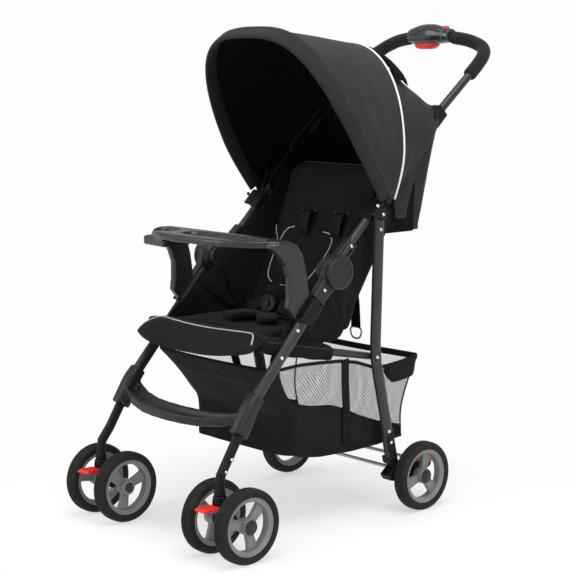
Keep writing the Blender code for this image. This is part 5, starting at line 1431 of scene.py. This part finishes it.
def joined(parts, name):
    # several meshes made one
    shape = bmesh.new()
    for part in parts:
        shape.from_mesh(part.data)
    mesh = parts[0].data.copy()
    mesh.name = name
    shape.to_mesh(mesh)
    shape.free()
    for part in parts:
        bpy.data.objects.remove(part)
    piece = bpy.data.objects.new(name, mesh)
    bpy.context.scene.collection.objects.link(piece)
    return piece


for side, word in ((1, "left"), (-1, "right")):
    for axle, suffix, x, y, phase in wheel["places"]:
        centre = at(x * side, y, wheel["radius"])
        body = f"{axle}_wheel_{word}{suffix}"
        tyreNode, rimNode = f"{axle}_tyre_{word}{suffix}", f"{axle}_rim_{word}{suffix}"
        wheelTyre(tyreNode + "_moulded", centre, body, tyreNode)
        wheelRim(rimNode + "_moulded", centre, side, phase, body, rimNode)
print("wheels made")


rivets = {
    "radius": 0.0040,
    "height": 0.0016,
    "places": [
        ("hub_lower", -0.2820, 0.5060, 0.2040, "chassis"), ("leg_upper", -0.3520, 0.4310, 0.2000, "chassis"),
        ("leg_lower", -0.3950, 0.3810, 0.2000, "chassis"), ("foot_upper", -0.5280, 0.1980, 0.2030, "chassis"),
        ("foot_lower", -0.5430, 0.1760, 0.2030, "chassis"), ("hub_upper", -0.1890, 0.5860, 0.1855, "handle_frame"),
        ("joint_upper", -0.1320, 0.6670, 0.2043, "handle_frame"),
        ("joint_axis", -0.1155, 0.6480, 0.2043, "handle_frame"),
        ("leg_top", -0.1170, 0.6165, 0.1989, "rear_legs"), ("rail_axis", -0.1240, 0.3480, 0.1989, "rear_legs"),
        ("rear_foot_upper", -0.0870, 0.1830, 0.1992, "rear_legs"),
        ("rear_foot_lower", -0.0800, 0.1580, 0.1990, "rear_legs"),
    ],  # side-view y, height, how far out
}
for name, y, z, x, body in rivets["places"]:
    r, high = rivets["radius"], rivets["height"]
    profile = [(r, -0.0012), (r, 0.0002), (r * 0.92, high * 0.45), (r * 0.74, high * 0.78), (r * 0.42, high * 0.96),
               (0.0, high)]
    for side, word in ((1, "left"), (-1, "right")):
        head = turned(f"rivet_{name}_{word}", at(side * x, y, z), Vector((side, 0, 0)), profile, rivetSteel, body, 28)
print("rivets made")


handle = {
    "tubeStart": Vector((-0.2421, 0.5340)),  # side-view y and height of the tube's line at the hub
    "tubeAngle": 44.4,
    "tubeLength": 0.473,
    "pushAngle": 38.8,
    "pushReach": 0.134,
    "tubeX": 0.1745,
    "tubeRadius": 0.009,
    "gripRadius": 0.0145,
    "gripFrom": 0.104,  # past the clips
    "moduleHalf": 0.062,
}


def slim(mesh, low):
    # above a height the feet are slimmer than the solid parts of the frame
    heights = {}
    for v in mesh.vertices:
        heights.setdefault(round(v.co.z / 0.006), []).append(v.co.y)
    middles = {key: (min(values) + max(values)) / 2 for key, values in heights.items()}
    xs = [abs(v.co.x) for v in mesh.vertices if v.co.z > low]
    x = (min(xs) + max(xs)) / 2
    for v in mesh.vertices:
        share = min(1.0, max(0.0, (v.co.z - low + 0.02) / 0.02))
        place = v.co.z / 0.006
        first = math.floor(place)
        a = middles.get(first, middles[round(place)])
        b = middles.get(first + 1, middles[round(place)])
        middle = a + (b - a) * (place - first)
        v.co.y = middle + (v.co.y - middle) * (1 - 0.36 * share)
        v.co.x = math.copysign(x + (abs(v.co.x) - x) * (1 - 0.18 * share), v.co.x)


def trimJoint(mesh):
    # the clamp becomes a close sleeve on the tube
    start, way = handle["tubeStart"], sideWay(handle["tubeAngle"])
    for v in mesh.vertices:
        if abs(v.co.x) < 0.1850:
            spot = Vector((v.co.y - rearAxleY, v.co.z)) - start
            along = spot.dot(way)
            off = spot - way * along
            spot = start + way * along + off * (0.0105 / max(off.length, 0.0105) * 0.65 + 0.35)
            v.co.y, v.co.z = spot.x + rearAxleY, spot.y


def trimHub(mesh):
    # the hub's inner half is smaller than its outer one
    middle = Vector((-0.247, 0.539))
    for v in mesh.vertices:
        spot = Vector((v.co.y - rearAxleY, v.co.z)) - middle
        if abs(v.co.x) < 0.1790 and spot.length < 0.0365:
            spot = middle + spot * 0.70
            v.co.y, v.co.z = spot.x + rearAxleY, spot.y


def taperBrackets(mesh):
    # the footrest's brackets close in on the legs towards their tops
    base, way = Vector((-0.304, 0.294)), sideWay(47.6)  # along the front leg, in the frame's own y
    for v in mesh.vertices:
        spot = Vector((v.co.y, v.co.z)) - base
        along = spot.dot(way)
        if abs(v.co.x) > 0.176 and along > -0.020:
            off = spot - way * along
            share = min(1.0, (along + 0.020) / 0.050) * 0.75
            spot = base + way * along + off * (1 - share + share * 0.0105 / max(off.length, 0.0105))
            v.co.y, v.co.z = spot.x, spot.y


trims = {
    "leg_foot": lambda mesh: slim(mesh, 0.150),
    "rear_foot": lambda mesh: slim(mesh, 0.105),
    "top_joint": trimJoint,
    "hub_upper": trimHub,
    "footrest_bar": taperBrackets,
}


def moulded(name, voxel, look, body, slotName, rounds):
    # the frame's own shape with the rounded edges of a moulding
    source = nodes[name]
    mesh = source.data.copy()
    piece = bpy.data.objects.new(name + "_moulding", mesh)
    bpy.context.scene.collection.objects.link(piece)
    grain = piece.modifiers.new("Voxel", "REMESH")
    grain.mode = "VOXEL"
    grain.voxel_size = voxel
    ease = piece.modifiers.new("Ease", "SMOOTH")
    ease.iterations = rounds
    ease.factor = 0.5
    bpy.context.view_layer.update()
    final = bpy.data.meshes.new_from_object(piece.evaluated_get(bpy.context.evaluated_depsgraph_get()))
    piece.modifiers.clear()
    piece.data = final
    for start, trim in trims.items():
        if name.startswith(start):
            trim(final)
    final.materials.clear()
    final.materials.append(look)
    final.shade_smooth()
    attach(piece, body)
    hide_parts(name)


# node, voxel, look, body, slot, rounds of smoothing
mouldings = [("tray", 0.0022, trayAbs, "tray", "grey_plastic", 20),
             ("footrest_bar", 0.0022, greyAbs, "chassis", "grey_plastic", 16)]
for side in ("left", "right"):
    mouldings += [
        (f"hub_upper_{side}", 0.0016, greyAbs, "handle_frame", "grey_plastic", 5),
        (f"hub_lower_{side}", 0.0016, greyAbs, "chassis", "grey_plastic", 5),
        (f"top_joint_{side}", 0.0016, blackNylon, "handle_frame", "black_nylon", 5),
        (f"tray_bracket_{side}", 0.0016, blackNylon, "chassis", "black_nylon", 5),
        (f"rear_foot_{side}", 0.0018, blackNylon, "rear_legs", "black_nylon", 5),
        (f"leg_foot_{side}", 0.0018, blackNylon, "chassis", "black_nylon", 5),
        (f"caster_fork_{side}", 0.0018, blackNylon, f"caster_{side}", "black_nylon", 5),
    ]
for row in mouldings:
    moulded(*row)
print("mouldings made")


def sideLine(start, angle, distance):
    return start + distance * sideWay(angle)


def handleHalf():
    # from the hub up the left side and round to the middle of the push bar
    start, length = handle["tubeStart"], handle["tubeLength"]
    clip = sideLine(start, handle["tubeAngle"], length)
    end = sideLine(clip, handle["pushAngle"], handle["pushReach"])
    rear, top, x = end.x + 0.050, end.y + 0.045, handle["tubeX"]
    straight = [at(x, *sideLine(start, handle["tubeAngle"], d)) for d in (0.046, 0.15, 0.30, length - 0.02)]
    bend = [at(x, *clip)] + [at(x, *sideLine(clip, handle["pushAngle"], d)) for d in (0.02, 0.09)]
    bend += [at(x, *end), at(x - 0.004, end.x + 0.028, end.y + 0.024), at(x - 0.018, rear - 0.005, top - 0.006),
             at(x - 0.042, rear, top + 0.006), at(x - 0.085, rear - 0.001, top + 0.017),
             at(0.0, rear - 0.003, top + 0.026)]
    return straight, smoothPath(bend, 90)


def makeHandle():
    straight, bend = handleHalf()
    half = straight + bend
    round28 = [ovalSection(2 * radius, 2 * radius, 28) for radius in (handle["tubeRadius"], handle["gripRadius"])]
    across = Vector((0, 0.3, 1))
    whole = half + [mirrored(p, -1) for p in reversed(half[:-1])]
    bar = sweep("handle_tube_drawn", whole, across, round28[0], tube, "handle_frame")
    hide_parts("handle_tube")
    foot = next(i for i, p in enumerate(bend) if (p - bend[0]).length > handle["gripFrom"])
    for side, word in ((1, "left"), (-1, "right")):
        path = [mirrored(p, side) for p in bend[foot:] if p.x > handle["moduleHalf"] + 0.001]
        grip = sweep(f"grip_{word}_foam", path, across, round28[1], foam, "handle_frame",
                     lambda t: 0.90 + 0.10 * min(1.0, min(t, 1 - t) / 0.02))  # ends rounded over
        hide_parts("grip_" + word)


module = {
    "halfDepth": 0.0245,
    "halfHeight": 0.0235,
    "squareness": 2.4,  # 2 is a circle, more is a box
    "endDrop": 0.0045,
    "stations": [(-1.00, 0.66, 0.60), (-0.97, 0.74, 0.68), (-0.88, 0.77, 0.72), (-0.74, 0.84, 0.82),
                 (-0.50, 0.95, 0.95), (-0.20, 1.0, 1.0), (0.10, 1.0, 0.98), (0.40, 0.94, 0.90),
                 (0.60, 0.84, 0.78), (0.72, 0.77, 0.70), (0.86, 0.74, 0.68), (0.97, 0.72, 0.66),
                 (1.00, 0.64, 0.58)],  # along, shares of depth and height
    "partLines": (-0.88, 0.72),
    "leverHalf": 0.030,
    "leverDrop": 0.0115,
    "leverDepths": [(-1.0, 0.45), (-0.94, 0.72), (-0.80, 0.92), (-0.45, 1.0), (0.30, 1.0), (0.72, 0.90), (0.92, 0.66),
                    (1.0, 0.40)],  # along, share of the drop
    "buttonX": 0.044,
}


def makeModule():
    # two-part housing, slimmer towards its right end, with parting lines drawn lighter than the housing as a painted
    # highlight
    middle = handleHalf()[1][-1]
    half = handle["moduleHalf"]
    power = 2 / module["squareness"]
    rings, lines = [], {}
    for along, deep, high in module["stations"]:
        drop = -module["endDrop"] * abs(along) ** 1.5
        centre = Vector((along * half, middle.y, middle.z + 0.0025 + drop))
        ring = []
        for i in range(28):
            turn = 2 * math.pi * i / 28
            u, v = math.cos(turn), math.sin(turn)
            ring.append(centre + Vector((0, math.copysign(abs(u) ** power, u) * module["halfDepth"] * deep,
                                         math.copysign(abs(v) ** power, v) * module["halfHeight"] * high)))
        rings.append(ring)
        lines[along] = ring
    shell = loftRings("handle_module_shell", rings, glossAbs, "handle_frame", False, 40)
    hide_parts("handle_module")
    for number, place in enumerate(module["partLines"]):
        partLine = sweep(f"handle_module_seam_{number}", lines[place], Vector((1, 0, 0)),
                         ovalSection(0.0022, 0.0022, 8), partingLineHighlight, "handle_frame", None, True)
    # the red lever hangs in its slot under the housing
    rings = []
    for share, depth in module["leverDepths"]:
        top, bottom = middle.z - 0.0182, middle.z - 0.0200 - module["leverDrop"] * depth
        x, y = -0.010 + module["leverHalf"] * share, middle.y - 0.004
        outline = [(-0.0110, top), (0.0110, top), (0.0112, bottom + 0.0060), (0.0085, bottom + 0.0018),
                   (0.0040, bottom), (-0.0040, bottom), (-0.0085, bottom + 0.0018), (-0.0112, bottom + 0.0060)]
        rings.append([Vector((x, y + across, z)) for across, z in outline])
    lever = loftRings("fold_lever_moulding", rings, redAbs, "fold_lever", False, 40)
    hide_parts("fold_lever")
    top = middle.z + 0.0178
    profile = [(0.0074, top - 0.0066), (0.0074, top + 0.0012), (0.0066, top + 0.0024), (0.0040, top + 0.0031),
               (0.0, top + 0.0033)]
    cap = turned("lock_button_moulding", Vector((module["buttonX"], middle.y, 0)), Vector((0, 0, 1)), profile,
                 redAbs, "lock_button", 32)
    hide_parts("lock_button")


makeHandle()
makeModule()
print("handle made")


# camera, floor and light

camera = {
    "place": (2.46828, -2.28474, 0.96371),
    "azimuth": 47.59,
    "elevation": 8.2235,
    "lensMm": 98.52,
}
studio = {
    "white": "#fdfdfd",
    "worldLight": 0.55,  # strength of the white that lights the object; the camera sees it at 1
    "floorRadius": 14.0,
    "floorNear": 0.30,  # the paper glows by floorGlow up to here,
    "floorFar": 0.85,  # and is plain white from here
    "floorGlow": 0.55,
    "aim": (0.0, 0.0, 0.5),
    "lamps": [  # name, place, size, watts
        ("Large softbox above", (0.6, -0.5, 2.9), (2.2, 2.2), 62.0),
        ("Softbox at the camera's left", (-1.6, -2.6, 1.6), (1.4, 1.8), 34.0),
        ("Strip at the camera's right", (2.9, -0.2, 1.5), (0.8, 1.9), 26.0),
        ("Low fill behind", (-0.8, 2.6, 1.2), (1.6, 1.6), 14.0),
    ],
}


def addCamera():
    azimuth, elevation = math.radians(camera["azimuth"]), math.radians(camera["elevation"])
    flat = math.cos(elevation)
    back = Vector((math.sin(azimuth) * flat, -math.cos(azimuth) * flat, math.sin(elevation)))
    right = Vector((math.cos(azimuth), math.sin(azimuth), 0.0))
    up = back.cross(right)
    data = bpy.data.cameras.new("Photograph view")
    data.sensor_width = 36.0
    data.lens = camera["lensMm"]
    data.clip_end = 100.0
    made = bpy.data.objects.new("Photograph view", data)
    bpy.context.scene.collection.objects.link(made)
    turn = Matrix((right, up, back)).transposed().to_4x4()
    made.matrix_world = Matrix.Translation(camera["place"]) @ turn
    bpy.context.scene.camera = made


def addFloor():
    # pale paper that takes the shadow near the object and brightens to the white of the background
    material, tree, shader = newMaterial("Studio floor paper", 0.9)
    shader.inputs["Base Color"].default_value = toLinear("#f4f4f5")
    glow = addNode(tree, "ShaderNodeEmission", None, {"Color": toLinear(studio["white"]), "Strength": 1.0})
    place = addNode(tree, "ShaderNodeNewGeometry")
    reach = addNode(tree, "ShaderNodeVectorMath", {"operation": "LENGTH"}, {"Vector": place.outputs["Position"]})
    near, far = studio["floorNear"], studio["floorFar"]
    share = addNode(tree, "ShaderNodeMapRange", {"interpolation_type": "SMOOTHSTEP"}, {
        "Value": reach.outputs["Value"], "From Min": near, "From Max": far, "To Min": studio["floorGlow"],
        "To Max": 1.0})
    addNode(tree, "ShaderNodeMixShader", None, {
        0: share.outputs["Result"], 1: shader.outputs["BSDF"], 2: glow.outputs["Emission"]},
        tree.nodes["Material Output"].inputs["Surface"])
    shape = bmesh.new()
    bmesh.ops.create_circle(shape, cap_ends=True, segments=96, radius=studio["floorRadius"])
    mesh = bpy.data.meshes.new("studio_floor")
    shape.to_mesh(mesh)
    shape.free()
    mesh.materials.append(material)
    floor = bpy.data.objects.new("studio_floor", mesh)
    bpy.context.scene.collection.objects.link(floor)


def addLight(name, place, size, power):
    data = bpy.data.lights.new(name, "AREA")
    data.shape = "RECTANGLE"
    data.size, data.size_y = size
    data.energy = power
    lamp = bpy.data.objects.new(name, data)
    lamp.location = place
    lamp.rotation_euler = (Vector(studio["aim"]) - Vector(place)).to_track_quat("-Z", "Y").to_euler()
    bpy.context.scene.collection.objects.link(lamp)


def addWorld():
    world = bpy.data.worlds.new("Studio")
    world.use_nodes = True
    tree = world.node_tree
    background = tree.nodes["Background"]
    background.inputs["Color"].default_value = toLinear(studio["white"])
    path = addNode(tree, "ShaderNodeLightPath")
    seen = addNode(tree, "ShaderNodeMath", {"operation": "MAXIMUM"}, {
        0: path.outputs["Is Camera Ray"], 1: path.outputs["Is Transmission Ray"]})
    addNode(tree, "ShaderNodeMapRange", None, {
        "Value": seen.outputs[0], "To Min": studio["worldLight"], "To Max": 1.0}, background.inputs["Strength"])
    bpy.context.scene.world = world


addCamera()
addFloor()
addWorld()
for lamp in studio["lamps"]:
    addLight(*lamp)
bpy.context.scene.view_settings.view_transform = "Standard"

print("scene ready")
